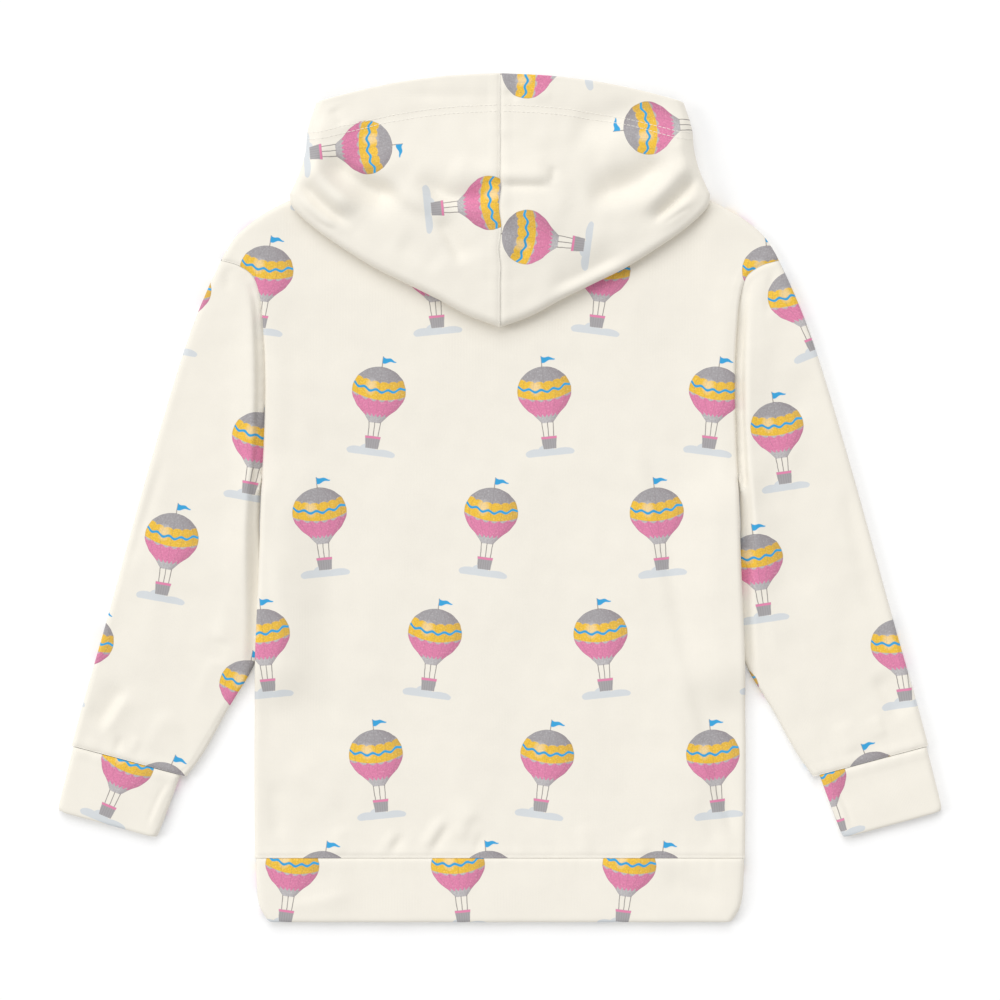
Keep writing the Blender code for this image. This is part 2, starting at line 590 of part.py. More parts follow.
# ---------------------------------------------------------------- meshes
def wall_faces(rows, columns, closed):
    """Quads of the outer and inner grids and of the rims that join them."""
    count = rows * columns

    def quads(offset, turned):
        for i in range(rows - 1):
            for j in range(columns if closed else columns - 1):
                k = (j + 1) % columns
                quad = (i * columns + j, i * columns + k, (i + 1) * columns + k, (i + 1) * columns + j)
                yield tuple(offset + v for v in (quad[::-1] if turned else quad))

    around = [list(range(columns)), [(rows - 1) * columns + j for j in range(columns)]]
    if closed:
        rims = [[*line, line[0]] for line in around]
    else:
        right = [i * columns + columns - 1 for i in range(1, rows)]
        left = [i * columns for i in range(rows - 2, -1, -1)]
        rims = [around[0] + right + around[1][-2::-1] + left]
    rim_faces = [(a, b, b + count, a + count) for rim in rims for a, b in zip(rim, rim[1:])]
    return [*quads(0, False), *quads(count, True), *rim_faces]


SHARP_ANGLE = 0.9


def cloth_material(name, colour, roughness):
    material = bpy.data.materials.new(name)
    material.use_nodes = True
    shader = material.node_tree.nodes["Principled BSDF"]
    shader.inputs["Base Color"].default_value = colour
    shader.inputs["Roughness"].default_value = roughness
    shader.inputs["Metallic"].default_value = 0.0
    return material


def add_wall(name, surfaces, collection, material, closed=False):
    """One piece of cloth as a closed solid between its outer and inner surface."""
    outer, inner = surfaces
    rows, columns = outer.shape[:2]
    points = np.vstack([outer.reshape(-1, 3), inner.reshape(-1, 3)]) * METRES
    mesh = bpy.data.meshes.new(name)
    mesh.from_pydata(points.tolist(), [], wall_faces(rows, columns, closed))
    shape = bmesh.new()
    shape.from_mesh(mesh)
    bmesh.ops.recalc_face_normals(shape, faces=shape.faces)
    shape.to_mesh(mesh)
    shape.free()
    mesh.shade_smooth()
    mesh.set_sharp_from_angle(angle=SHARP_ANGLE)
    piece = bpy.data.objects.new(name, mesh)
    piece.data.materials.append(material)
    collection.objects.link(piece)
    return piece


def add_pair(name, surfaces, collection, material, closed=False):
    """The same piece on the wearer's right, at +X, and mirrored on the left."""
    add_wall(name + "_right", surfaces, collection, material, closed)
    add_wall(name + "_left", [mirrored(surface) for surface in surfaces], collection, material, closed)


def main():
    for leftover in list(bpy.data.objects):
        bpy.data.objects.remove(leftover)
    garment = bpy.data.collections.new("hoodie")
    bpy.context.scene.collection.children.link(garment)
    fleece = cloth_material("printed_fleece", CREAM, 0.9)
    add_wall("front_panel", front_panel(), garment, fleece)
    add_wall("back_panel", back_panel(), garment, fleece)
    add_wall("waistband", waistband(), garment, fleece, closed=True)
    add_pair("sleeve", sleeve(), garment, fleece, closed=True)
    add_pair("cuff", cuff(), garment, fleece, closed=True)
    add_wall("hood_right", thickened(hood(HOOD_FOLDS_RIGHT)), garment, fleece)
    left_hood = [mirrored(surface) for surface in thickened(hood(HOOD_FOLDS_LEFT))]
    add_wall("hood_left", left_hood, garment, fleece)


main()
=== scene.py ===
"""Looks of a child's pullover hoodie of printed sweatshirt cloth, laid flat on its front.

Lengths are in millimetres and become metres when a mesh is made. X runs across the garment, +Y towards the
hood and +Z up from the table, as in the frame. Every piece of cloth is a fine shell on the form of its solid.
"""

from functools import partialmethod

import bpy
import numpy as np
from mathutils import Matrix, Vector


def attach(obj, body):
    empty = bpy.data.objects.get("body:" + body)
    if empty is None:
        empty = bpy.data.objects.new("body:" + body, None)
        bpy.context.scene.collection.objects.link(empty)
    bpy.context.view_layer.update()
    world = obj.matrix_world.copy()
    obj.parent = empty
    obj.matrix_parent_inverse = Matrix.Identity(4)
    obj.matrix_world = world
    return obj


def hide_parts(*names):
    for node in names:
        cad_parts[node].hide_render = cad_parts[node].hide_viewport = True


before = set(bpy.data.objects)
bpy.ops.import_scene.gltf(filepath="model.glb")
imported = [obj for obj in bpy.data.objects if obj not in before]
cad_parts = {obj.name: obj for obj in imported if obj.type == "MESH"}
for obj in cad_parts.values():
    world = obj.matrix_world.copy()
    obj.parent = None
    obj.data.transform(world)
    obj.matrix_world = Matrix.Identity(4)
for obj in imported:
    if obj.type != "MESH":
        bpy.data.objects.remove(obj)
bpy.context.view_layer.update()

METRES = 0.001

# ---- sizes of the solids
LENGTH = 644  # from the hem to the top of the thrown-back hood
CLOTH = 2.2  # brushed sweatshirt cloth
BAND_CLOTH = 3.2  # the waistband is folded double
CUFF_CLOTH = 3  # and so are the cuffs
PINCH = 0.55  # share of its thickness that the cloth loses where folds meet in a corner
HOOD_PINCH_REACH = 9
UNDERARM_PINCH_REACH = 30
SEAM = 0.08  # gap left between two pieces at a seam, whose edges all but touch
SLEEVE_SEAM = 1.3 * SEAM  # likewise where the seam curves, before both sides are made of straight runs
NECK_SEAM = 1.8 * SEAM
LAID_HEIGHT = 8  # front and back of the body, lying on each other
SLEEVE_HEIGHT = 8.4
TUCK_HEIGHT = 5.6  # the sleeve where the body lies on it
BAND_HEIGHT = 8.8
CUFF_HEIGHT = 8
BAND_DEPTH = 49  # waistband, from its seam to the hem
NECK_WIDTH = 176
BACK_NECK_DROP = 10
FRONT_NECK_DROP = 73

HALF_LENGTH = LENGTH / 2
BAND_SEAM_Y = -HALF_LENGTH + BAND_DEPTH
UNDERARM = (181, 14)
SHOULDER_POINT = (212.4, 181.6)
NECK_POINT = (NECK_WIDTH / 2, 248)

# ---- outlines of the right half: x, y
SIDE_SEAM = ((186.5, BAND_SEAM_Y), (187, -200), (186, -120), (183.5, -60), UNDERARM)
ARMHOLE = (UNDERARM, (178.6, 82), (180, 125), (182, 150), (186.5, 167.5), (197.5, 177), SHOULDER_POINT)
SHOULDER_SEAM = (SHOULDER_POINT, (203.7, 196.8), (187.3, 212), (160, 227.5), (125, 238.5), NECK_POINT)
BACK_NECK = (NECK_POINT, (52, 241), (0, NECK_POINT[1] - BACK_NECK_DROP))
FRONT_NECK = (NECK_POINT, (84, 222), (66, 195), (36, 179), (0, NECK_POINT[1] - FRONT_NECK_DROP))
SLEEVE_OUTER = (
    SHOULDER_POINT, (223, 158.8), (235.2, 128.4), (250, 82.8), (272.1, 6.8), (297.2, -84.4),
    (318.8, -160.4), (326, -187.5),
)
SLEEVE_INNER = (
    UNDERARM, (184.6, -2), (185, -24), (181, -50), (177.5, -76), (179.5, -104), (189, -130),
    (207.5, -160.4), (224.2, -190.8), (238.3, -211),
)
CUFF_OUTER = ((324.6, -188.2), (331, -213.5), (336, -234.5), (334, -238.3))
CUFF_INNER = ((243.2, -210), (252, -234), (260, -254.5), (263, -257.6))
BAND_SIDE = ((186, BAND_SEAM_Y - SEAM), (185, -297), (182.6, -311), (176, -HALF_LENGTH))
HOOD_LOWER_EDGE = (
    (0, 131), (14, 135), (47, 152.5), (100, 179), (122.4, 193.8), (142, 207.5), (156.5, 222), (159, 231),
)
HOOD_SIDE_FOLD = ((159, 231), (151, 248), (146.5, 265), (144.8, 281), (138.6, 301))
HOOD_TOP_EDGE = ((0, HALF_LENGTH), (42.6, 319.8), (82, 314.5), (112, 308), (138.6, 301))
HOOD_FRONT_EDGE = ((138.6, 301), (95, 276), (48, 234), (0, 198))

# The hood's cloth comes down over the shoulder seam along this line, from the neck to the hood's side.
HOOD_TURN = ((88, 254), (159, 231))

# Where the hood's edge goes round the neck point, in front of that line: share of the way, x, y
HOOD_NECK_FAN = (
    (0.15, 89.5, 258.8), (0.22, 87.3, 259.6), (0.3, 84.5, 258.4), (0.4, 82.6, 255), (0.5, 82.5, 250.5),
)

# The hood's front layer, from its back edge to the centre front: share of the way,
# point it passes over (x, y), share of the face opening's front edge where it ends
HOOD_FRONT_FAN = (
    (0, 159, 231, 0), (0.15, 147, 248, 0.05), (0.22, 106, 276, 0.17), (0.3, 86, 264, 0.33),
    (0.4, 80.5, 257.8, 0.42), (0.5, 77, 251.2, 0.5), (0.625, 71, 230, 0.61), (0.75, 56, 211, 0.72),
    (1, 0, 186, 1),
)

# ---- heights
# The body rises over the sleeves that are tucked under its sides.
TUCK_LIFT = 6.3
TUCK_LIFT_ACROSS = (125, 168)  # |x| where the rise begins and ends
TUCK_LIFT_TOP = (36, -14)  # y where it begins and is full
TUCK_LIFT_FOOT = (-166, -124)

# Middle of the hood's wall above the table, down its centre: y, height
HOOD_PROFILE = ((131, 19.8), (160, 22.5), (200, 26), (235, 25.5), (262, 22.5), (290, 20), (322, 18.6))
HOOD_SIDE_HEIGHT = 12.5  # the lowest that the same wall gets towards its side fold
HOOD_SIDE_SHARE = 0.35  # how much of the centre's height above that is left there
HOOD_HALF_WIDTH = 159
UNDER_LAYER = LAID_HEIGHT + 0.5 + CLOTH / 2  # hood cloth that lies on the back
LOWEST_SHOWN = UNDER_LAYER + CLOTH + 0.5  # hood cloth that lies on that
FRONT_LAYER = CLOTH / 2  # hood cloth that lies on the table
# The fold along the hood's lower edge and up its side: share of the way, height of its middle, radius
HOOD_FOLD = ((0, 14.7, 5), (0.5, 13.8, 4.4), (0.64, 13, 3.6), (0.72, 10.6, 3.6), (0.8, 8.2, 5), (1, 7.5, 5))
# The turn over the shoulder seam and up the side, likewise
HOOD_DROP = ((0, 5.4, 5), (0.3, 5.8, 5), (0.42, 7.8, 5), (0.5, 10.6, 4.6), (0.6, 8.2, 5), (1, 7.5, 5))

# ---- finer form
SEAM_GROOVE, SEAM_WIDTH = 0.75, 1.3  # depth and width of the groove along a seam
PUCKER, PUCKER_REACH = 0.4, 8  # height of the small puckers beside it, and how far they reach
ALLOWANCE, ALLOWANCE_WIDTH = 0.35, 6  # thickness and width of the cloth turned under beside it
HEM_DEPTH = 29  # the hood's opening edge is folded under by this
HEM_CLOTH = 0.5  # and that much thicker there
NEEDLE_GAP = 5  # between the two rows of the hem's stitches
HEM_GROOVE, HEM_GROOVE_WIDTH = 0.45, 5  # what the stitches press into the hood
SEAM_SWAY = 0.9  # how far the hood's middle seam strays where the cloth is drawn up
SWAY_LENGTH, SWAY_REACH = 5.2, 9  # how quickly it sways, and how far beside the seam
SWAY_TOP, SWAY_FOOT = (246, 232), (160, 184)  # y where the swaying begins and is full
RIM_SHARE = 0.12  # share of its thickness that is left of the cloth at a rounded rim
CUFF_RIM, BAND_RIM, HOOD_RIM = 1.6, 1.7, 1.5  # how far in the rounding of a rim begins
CUFF_DROP, CUFF_DROP_WIDTH = 1.4, 3  # how far the upper layer comes down towards the rim
BAND_DROP, BAND_DROP_WIDTH = 1.8, 3.5
ARMHOLE_LENGTH, CUFF_SEAM_LENGTH = 180, 90
ARMHOLE_TROUGH = 3.3  # the sleeve's cloth sinks so deep beside the armhole
SINK = (0.12, 0.42)  # shares of the armhole, from the shoulder down, where the sinking begins and is full
TROUGH_FLOOR, TROUGH_WALL = 4.6, 2.2  # widths of its flat floor and of the rise to the sleeve
ARMHOLE_EDGE_DROP, ARMHOLE_EDGE_RADIUS = 3, 2.2  # how the back's edge turns down into it
ARMHOLE_EDGE_RISE, SWELL_PLACE, SWELL_WIDTH = 1.6, 8, 11  # and swells beside it
ARMHOLE_EASE = 26  # how far from the armhole the sleeve's height has become its own
SLEEVE_INNER_SHOWN = (UNDERARM, (182.6, -2), (183.3, -24)) + SLEEVE_INNER[3:]  # drawn up to the body
SLEEVE_SEAM_LINE = ((194, -131), (211, -161), (226, -187), (235, -201), (243.5, -209))
UNDERARM_GROOVE, UNDERARM_GROOVE_WIDTH = 0.6, 1.2  # depth and width of the groove along that seam

# Folds: points of the crest or trough, width either side, height (negative is a trough), lean to one side
BACK_FOLDS = (
    (((96, 70), (104, 30), (117, -48), (138, -150), (170, -262)), 12, 2.8, 0.6),
    (((128, 20), (150, -110)), 14, 0.8, 0),
    (((122, -140), (146, -210), (158, -262)), 9, 1, 0.4),
    (((158, -196), (181, -258)), 6, -2.2, -0.4),
    (((150, -224), (166, -266)), 5, -1, 0),
    (((-52.5, -269), (-46, -258), (-38, -246)), 3, -2, 0.3),
    (((-59, -268), (-50, -252), (-41, -241)), 4.5, 1.8, 0.3),
    (((-83, -269), (-73, -255)), 3, -1.5, 0),
    (((-89, -268), (-79, -252)), 4, 1.2, 0),
    (((-17.5, -269), (-14, -254)), 3, -1.6, 0),
    (((-30, -262), (-27, -244), (-15, -236)), 6, 1.8, -0.4),
    (((66, -271), (62, -246)), 6, 1.1, 0.4),
    (((112, -271), (104, -250)), 7, 1.1, 0),
    (((-120, -271), (-124, -248)), 7, 1.1, 0.3),
    (((-172, -212), (-168, -262)), 7, -1.3, 0),
    (((-176, -20), (-165, -90), (-168, -170)), 8, 1, -0.5),
    (((-150, -190), (-120, -240)), 14, 1, 0.4),
    (((-160, 140), (-150, 60), (-158, -20)), 14, 0.7, 0.3),
    (((158, 150), (150, 70), (160, -10)), 14, 0.8, -0.3),
    (((-96, 120), (-70, 40)), 26, -0.6, 0),
    (((40, 60), (60, -60)), 30, 0.6, 0),
    (((-20, -60), (-50, -170)), 30, 0.5, 0),
    (((178, 226), (150, 196)), 14, 0.9, 0),
)
FRONT_FOLDS = (  # the underside is flat on the table, so its folds only lift
    (((-130, -40), (-90, -150), (-60, -262)), 7, 1, 0.4),
    (((120, 60), (132, -60), (110, -180)), 8, 0.9, -0.4),
    (((-40, 150), (0, 60), (20, -60)), 9, 0.8, 0.3),
    (((60, -270), (54, -240)), 6, 0.9, 0),
    (((-100, -270), (-92, -236)), 6, 0.9, 0.3),
)
SLEEVE_FOLDS_RIGHT = (
    (((200, 172), (191.5, 140), (189, 80), (191, 20), (195, -40), (194, -110)), 7, 5.2, -0.5),
    (((209, 178), (205, 156), (204, 136)), 3, -1.3, 0),
    (((215, 172), (212, 150)), 3, 0.9, 0),
    (((309, -168), (296, -150), (284, -132)), 8, -2.6, 0.4),
    (((322, -176), (312, -156)), 5, 1.3, 0.4),
    (((292, -182), (284, -164)), 5, 1.3, -0.4),
    (((270, -194), (258, -168)), 7, 1.1, 0),
    (((226, 70), (214, 10), (218, -40)), 12, 0.9, 0.4),
    (((262, 20), (278, -60), (290, -110)), 9, -1.3, -0.4),
    (((262, -10), (250, -80), (240, -130)), 14, 0.8, 0.4),
    (((204, -60), (210, -110), (224, -150)), 8, 0.9, -0.5),
    (((236, 100), (224, 60)), 9, -0.7, 0),
)
SLEEVE_FOLDS_LEFT = (
    (((200, 171), (191, 138), (188.5, 80), (190.5, 20), (195, -40), (194, -110)), 7, 5.2, -0.5),
    (((209, 176), (206, 158)), 3, -1, 0),
    (((309, -176), (298, -158), (286, -141)), 7, -2.8, 0.4),
    (((300, -180), (290, -162), (280, -148)), 5, 1.5, -0.3),
    (((290.5, -193), (289, -180)), 3.5, -1.3, 0),
    (((280, -194), (276, -180)), 4, 1, 0),
    (((254, 40), (272, -10), (290, -66)), 8, -1.7, -0.4),
    (((300, -92), (310, -130)), 7, -1, 0),
    (((212, -104), (216, -126)), 7, -1.3, 0),
    (((268, -192), (250, -160)), 8, 1, -0.4),
    (((222, 80), (212, 20), (214, -30)), 11, 0.9, -0.4),
    (((258, -30), (262, -90), (278, -140)), 13, 0.9, 0.4),
    (((206, -70), (214, -116), (232, -160)), 8, 1, 0.4),
)
HOOD_FOLDS_RIGHT = (
    (((134, 300), (132, 268), (120, 242), (96, 222)), 30, 6, 0),
    (((124, 262), (116.6, 249), (100, 238.6), (82, 233), (62, 228)), 11, -8.5, 0.2),
    (((143, 262), (137, 249), (127.5, 238.6), (116, 227), (100, 217)), 8, 5, 0.2),
    (((150, 246), (145, 240), (138, 231), (123, 216.6), (112, 209)), 5.5, -5, 0.2),
    (((148, 228), (134, 219), (118, 208)), 3.4, 1.6, 0),
    (((144, 222), (132, 214), (122, 207)), 2, -1, 0),
    (((112, 293), (98, 292), (73, 285), (50, 275)), 10, -2.6, 0),
    (((110, 284), (98, 270), (70, 258)), 16, 3, 0),
    (((-6, 243.5), (19, 244), (41, 244.5)), 6.5, 2.8, -0.5),
    (((-5, 236.4), (18, 235.8), (44, 235.2)), 3.6, -1.9, 0),
    (((40.5, 252), (40, 244), (39.4, 237)), 3.6, -1.5, 0),
    (((34, 156), (62, 166), (84, 178), (100, 187)), 15, -4.2, 0),
    (((20.5, 196), (19, 189), (15.5, 180)), 4, -1.9, 0),
    (((8, 202), (9, 192), (7, 180)), 4.5, 1.5, 0.3),
    (((3, 309), (8, 305.5), (15, 301.5)), 3, -1.3, 0),
    (((24, 305), (40, 306)), 5, 0.9, 0),
    (((60, 218), (30, 212), (6, 212)), 14, 1.6, 0.3),
)
HOOD_FOLDS_LEFT = (
    (((134, 304), (132, 270), (122, 244), (92, 220)), 30, 6.5, 0),
    (((134, 266), (127, 256), (118, 246), (102, 236), (86, 230.5), (70, 224)), 10, -9.5, -0.2),
    (((112, 286), (106, 268), (98, 252)), 17, -2.6, 0),
    (((145, 262), (140, 249), (133, 238.6), (122, 227), (106, 215)), 8, 5.2, -0.2),
    (((89, 270), (85, 250), (76, 235), (59, 222), (46, 216)), 9, 4.2, 0.3),
    (((152, 248), (149, 240), (139, 229), (125, 217), (110, 206)), 5.5, -5.2, 0),
    (((152, 228), (140, 216), (122, 203)), 3.4, 1.7, 0),
    (((141, 212), (132, 206.5), (122, 203)), 2, -1, 0),
    (((66, 245), (45.6, 231.8), (30, 227.5), (13, 229.5), (-4, 233)), 7.5, -5.8, 0.2),
    (((-4, 247), (18, 246), (40, 252)), 10, 2.2, 0.3),
    (((-4, 239), (6, 238), (14, 242)), 3.2, -1.4, 0),
    (((50, 214), (40, 203), (32, 188), (26, 175)), 8, -4.2, 0.4),
    (((80, 196), (58, 184), (44, 172)), 11, -1.8, 0.3),
    (((127, 297), (123, 289), (118, 280)), 5.5, -1.6, 0),
    (((80, 306), (40, 304.5), (-4, 304)), 5, -0.9, 0),
)
BAND_FOLDS = (
    (((120, -286), (150, -298), (172, -300)), 10, -1.3, 0),
    (((-168, -312), (-140, -306), (-112, -300)), 5, 0.9, 0.3),
    (((-160, -292), (-120, -288)), 8, -0.7, 0),
    (((-20, -300), (40, -296)), 14, 0.5, 0),
)
CUFF_FOLDS = (
    (((249, -213.5), (258, -231), (266, -252)), 1.7, 0.9, 0.3),
    (((252, -213), (261.5, -230), (269.5, -251)), 1.2, -0.6, 0),
)


# ---- curves and patches
def smooth(t):
    """0 below 0 and 1 above 1, with a soft change between."""
    t = np.clip(t, 0, 1)
    return t * t * (3 - 2 * t)


def fade(at, limits):
    """0 at the first limit and before it, 1 at the second and beyond, with a soft change between."""
    start, end = limits
    return smooth((at - start) / (end - start))


def bell(t):
    """1 at 0, fading away on both sides."""
    return np.exp(-(t**2))


def unit(vectors):
    """The vectors, each made one long."""
    return vectors / np.linalg.norm(vectors, axis=-1, keepdims=True)


def left_of(directions):
    """Unit vectors to the left of these directions in the plane."""
    return unit(np.stack([-directions[..., 1], directions[..., 0]], -1))


def read_at(at, keys, values):
    """Rows of values, given at the keys, read along straight lines at other places."""
    return np.stack([np.interp(at, keys, column) for column in values.T], -1)


def run_along(line):
    """Length of a line of points from its start to each of them."""
    return np.concatenate([[0], np.cumsum(np.linalg.norm(np.diff(line, axis=0), axis=1))])


def spline(points, shares):
    """Points at these shares of the length of a smooth curve through the given points."""
    p = np.asarray(points, float)
    p = np.vstack([2 * p[0] - p[1], p, 2 * p[-1] - p[-2]])
    t = np.linspace(0, 1, 25)[:, None]
    fine = []
    for a, b, c, d in zip(p, p[1:], p[2:], p[3:]):
        bend = 2 * b + (c - a) * t + (2 * a - 5 * b + 4 * c - d) * t**2
        fine.append(0.5 * (bend + (3 * b - a - 3 * c + d) * t**3))
    fine = np.vstack(fine)
    run = run_along(fine)
    return read_at(np.asarray(shares, float) * run[-1], run, fine)


def curve_through(keys, values, slopes, at):
    """Values read along a smooth curve that has these values and slopes at its keys."""
    k = np.clip(np.searchsorted(keys, at, side="right") - 1, 0, len(keys) - 2)
    wide = np.shape(at) + (1,) * (values.ndim - 1)
    span = (keys[k + 1] - keys[k]).reshape(wide)
    t = (at - keys[k]).reshape(wide) / span
    start, end, gain = slopes[k] * span, slopes[k + 1] * span, values[k + 1] - values[k]
    return values[k] + t * start + t**2 * (3 * gain - 2 * start - end) + t**3 * (start + end - 2 * gain)


def patch(near, far, left, right, across, along, cling=1):
    """A grid of points filling the area between four edges, rows from near to far.

    The bends of the left and right edge fade towards the other edge, the sooner the larger cling is.
    """
    a, b = np.asarray(across)[None, :, None], np.asarray(along)[:, None, None]
    straight = (1 - b) * near[None] + b * far[None]
    left_bend, right_bend = left[:, None] - straight[:, :1], right[:, None] - straight[:, -1:]
    return straight + (1 - a) ** cling * left_bend + a**cling * right_bend


def nearest(points, line):
    """Distance from each point to a line of points, the share of the line's length there, and the foot."""
    p = np.asarray(points)[..., None, :]
    start, step = line[:-1], np.diff(line, axis=0)
    length = np.linalg.norm(step, axis=1)
    t = np.clip(((p - start) * step).sum(-1) / length**2, 0, 1)
    foot = start + t[..., None] * step
    distance = np.linalg.norm(p - foot, axis=-1)
    k = distance.argmin(-1)[..., None]
    run = run_along(line)
    share = (run[k] + np.take_along_axis(t, k, -1) * length[k]) / run[-1]
    foot = np.take_along_axis(foot, k[..., None], -2)[..., 0, :]
    return np.take_along_axis(distance, k, -1)[..., 0], share[..., 0], foot


def from_lines(points, lines):
    """Distance from each point to the nearest of some lines."""
    return np.min([nearest(points, line)[0] for line in lines], axis=0)


def mirrored(points):
    """Points with left and right exchanged."""
    return np.asarray(points) * ((-1.0, 1.0) + (1.0,) * (np.shape(points)[-1] - 2))


# ---- fine grids
STEP, BAND_STEP, CUFF_STEP = 3, 2.4, 2  # widest spacing of the fine grids
WAVES = 9  # ripples that make up an unevenness


def eased(values, keys, at):
    """Values read along a smooth curve that never passes beyond its neighbouring points."""
    rate = np.diff(values, axis=0) / np.diff(keys).reshape((-1,) + (1,) * (values.ndim - 1))
    a, b = rate[:-1], rate[1:]
    slope = np.where(a * b > 0, 2 * a * b / np.where(a + b == 0, 1, a + b), 0)
    return curve_through(keys, values, np.concatenate([rate[:1], slope, rate[-1:]]), at)


def finer(points, step=STEP):
    """The grid with closer rows and columns, and the place of each new row and column among the old ones."""
    places = []
    for axis in (0, 1):
        lines = np.moveaxis(points, axis, 0)
        spacing = np.linalg.norm(np.diff(lines, axis=0), axis=-1)
        pieces = np.maximum(2, np.ceil(spacing.max(axis=1) / step)).astype(int)
        place = np.concatenate([k + np.arange(n) / n for k, n in enumerate(pieces)] + [[len(pieces)]])
        run = np.concatenate([[0], np.cumsum(spacing.mean(axis=1))])
        at = np.interp(place, np.arange(len(run)), run)
        points = np.moveaxis(eased(lines, run, at), 0, axis)
        places.append(place)
    return points, *places


def waves(points, length, height, seed):
    """A gentle unevenness of about this wave length and height."""
    chance = np.random.default_rng(seed)
    total = np.zeros(points.shape[:-1])
    for _ in range(WAVES):
        angle, phase = chance.uniform(0, np.pi), chance.uniform(0, 2 * np.pi)
        number = 2 * np.pi / length * chance.uniform(0.6, 1.5)
        total += np.sin(number * (points[..., 0] * np.cos(angle) + points[..., 1] * np.sin(angle)) + phase)
    return height * total / np.sqrt(WAVES)


def seam_form(distance, along, seed, side=1):
    """Height beside a seam: its groove, the allowance under the cloth on one side, and small puckers."""
    chance = np.random.default_rng(seed)
    ripple = sum(np.sin(along * chance.uniform(0.25, 0.7) + chance.uniform(0, 6)) for _ in range(4)) / 4
    groove = -SEAM_GROOVE * bell(distance / SEAM_WIDTH)
    allowance = ALLOWANCE * side * (1 - smooth((distance - ALLOWANCE_WIDTH) / 3)) * smooth(distance / 2.5)
    return groove + allowance + PUCKER * ripple * np.exp(-distance / PUCKER_REACH) * smooth(distance / 2)


def relief(folds, points):
    """Height that a table of folds adds at each point. A fold's lean makes one of its sides the steeper."""
    height = np.zeros(points.shape[:-1])
    for path, width, rise, lean in folds:
        line = spline(path, np.linspace(0, 1, 19))
        distance, share, foot = nearest(points, line)
        along, off = unit(line[-1] - line[0]), points - foot
        across = np.sign(along[0] * off[..., 1] - along[1] * off[..., 0]) * distance
        ends = smooth(share / 0.3) * smooth((1 - share) / 0.3)
        skew = np.clip(1 + lean * np.tanh(across / width), 0.2, 3)
        height += rise * bell(distance * skew / width) * (0.08 + 0.92 * ends)
    return height


# ---- cloth that lies in two layers
def roundness(share_of_radius):
    """Height of a round fold's side, as a share of its radius, this far in from its outermost line."""
    return np.sqrt(1 - (1 - np.clip(share_of_radius, 0, 1)) ** 2)


def layer(points, fold_lines, middle, half, side, cloth, centre):
    """Outer and inner surface of one layer, above (side 1) or below (side -1) the middle of laid cloth.

    The layer closes round each fold line towards the middle. centre is a point well inside the piece.
    """
    distance, inward = np.full(points.shape[:-1], np.inf), np.zeros(points.shape)
    for line in fold_lines:
        d, share, foot = nearest(points, line)
        run = run_along(line)
        normal = left_of(read_at(share * run[-1], run, np.gradient(line, axis=0)))
        facing = np.sign(((np.asarray(centre) - foot) * normal).sum(-1))[..., None]
        closer = d < distance
        inward = np.where(closer[..., None], normal * facing, inward)
        distance = np.where(closer, d, distance)
    close, inset = roundness(distance / half), cloth * np.clip(1 - distance / half, 0, 1)
    outer = [points, (middle + side * half * close)[..., None]]
    inner = [points + inward * inset[..., None], (middle + side * (half - cloth) * close)[..., None]]
    return np.concatenate(outer, -1), np.concatenate(inner, -1)


def lifted(surfaces, form):
    """The surfaces with their finer form added."""
    for surface in surfaces:
        surface[..., 2] += form
    return surfaces


def ringed(upper, lower=None):
    """Values on the upper layer of laid cloth, carried on round its tube over the lower one."""
    return np.concatenate([upper, (upper if lower is None else lower)[:, -2:0:-1]], axis=1)


def tube(points, fold_lines, middle, half, cloth, centre, form):
    """Outer and inner rings of laid cloth sewn into a tube, with the upper layer's finer form added."""
    upper, lower = [layer(points, fold_lines, middle, half, side, cloth, centre) for side in (1, -1)]
    return [ringed(u, d) for u, d in zip(lifted(upper, form), lower)]


def rounded(surfaces, from_edge, radius):
    """The surfaces brought together towards a free edge, so that its rim is round."""
    middle, half = (surfaces[0] + surfaces[1]) / 2, (surfaces[0] - surfaces[1]) / 2
    open_share = np.maximum(roundness(from_edge / radius), RIM_SHARE)[..., None]
    return [middle + half * open_share, middle - half * open_share]


# ---- body
ARMHOLE_SHARES = (0, 0.012, 0.035, 0.07, 0.16, 0.27, 0.38, 0.5, 0.62, 0.73, 0.84, 0.93, 0.965, 0.988, 1)
SIDE_SHARES = np.linspace(0, 1, 12)
SHOULDER_SHARES = np.array((0, 0.012, 0.035, 0.16, 0.37, 0.58, 0.79, 1))
NECK_SHARES = np.array((0, 0.03, 0.2, 0.4, 0.6, 0.8, 1))
UNDERARM_ROW, NECK_COLUMN = len(SIDE_SHARES) - 1, len(SHOULDER_SHARES) - 1
NECK_START = 0.5  # share of the body's half width where the columns that end on the neck begin
BODY_CLING = 8  # the bend of an armhole stays close to it
BODY_CENTRE = (0, 0)
LAID_HALF = LAID_HEIGHT / 2 - SEAM / 2


def body_rise(points):
    """How far the body lies above the table, because of the sleeves under its sides."""
    x, y = np.abs(points[..., 0]), points[..., 1]
    return TUCK_LIFT * fade(x, TUCK_LIFT_ACROSS) * fade(y, TUCK_LIFT_TOP) * fade(y, TUCK_LIFT_FOOT)


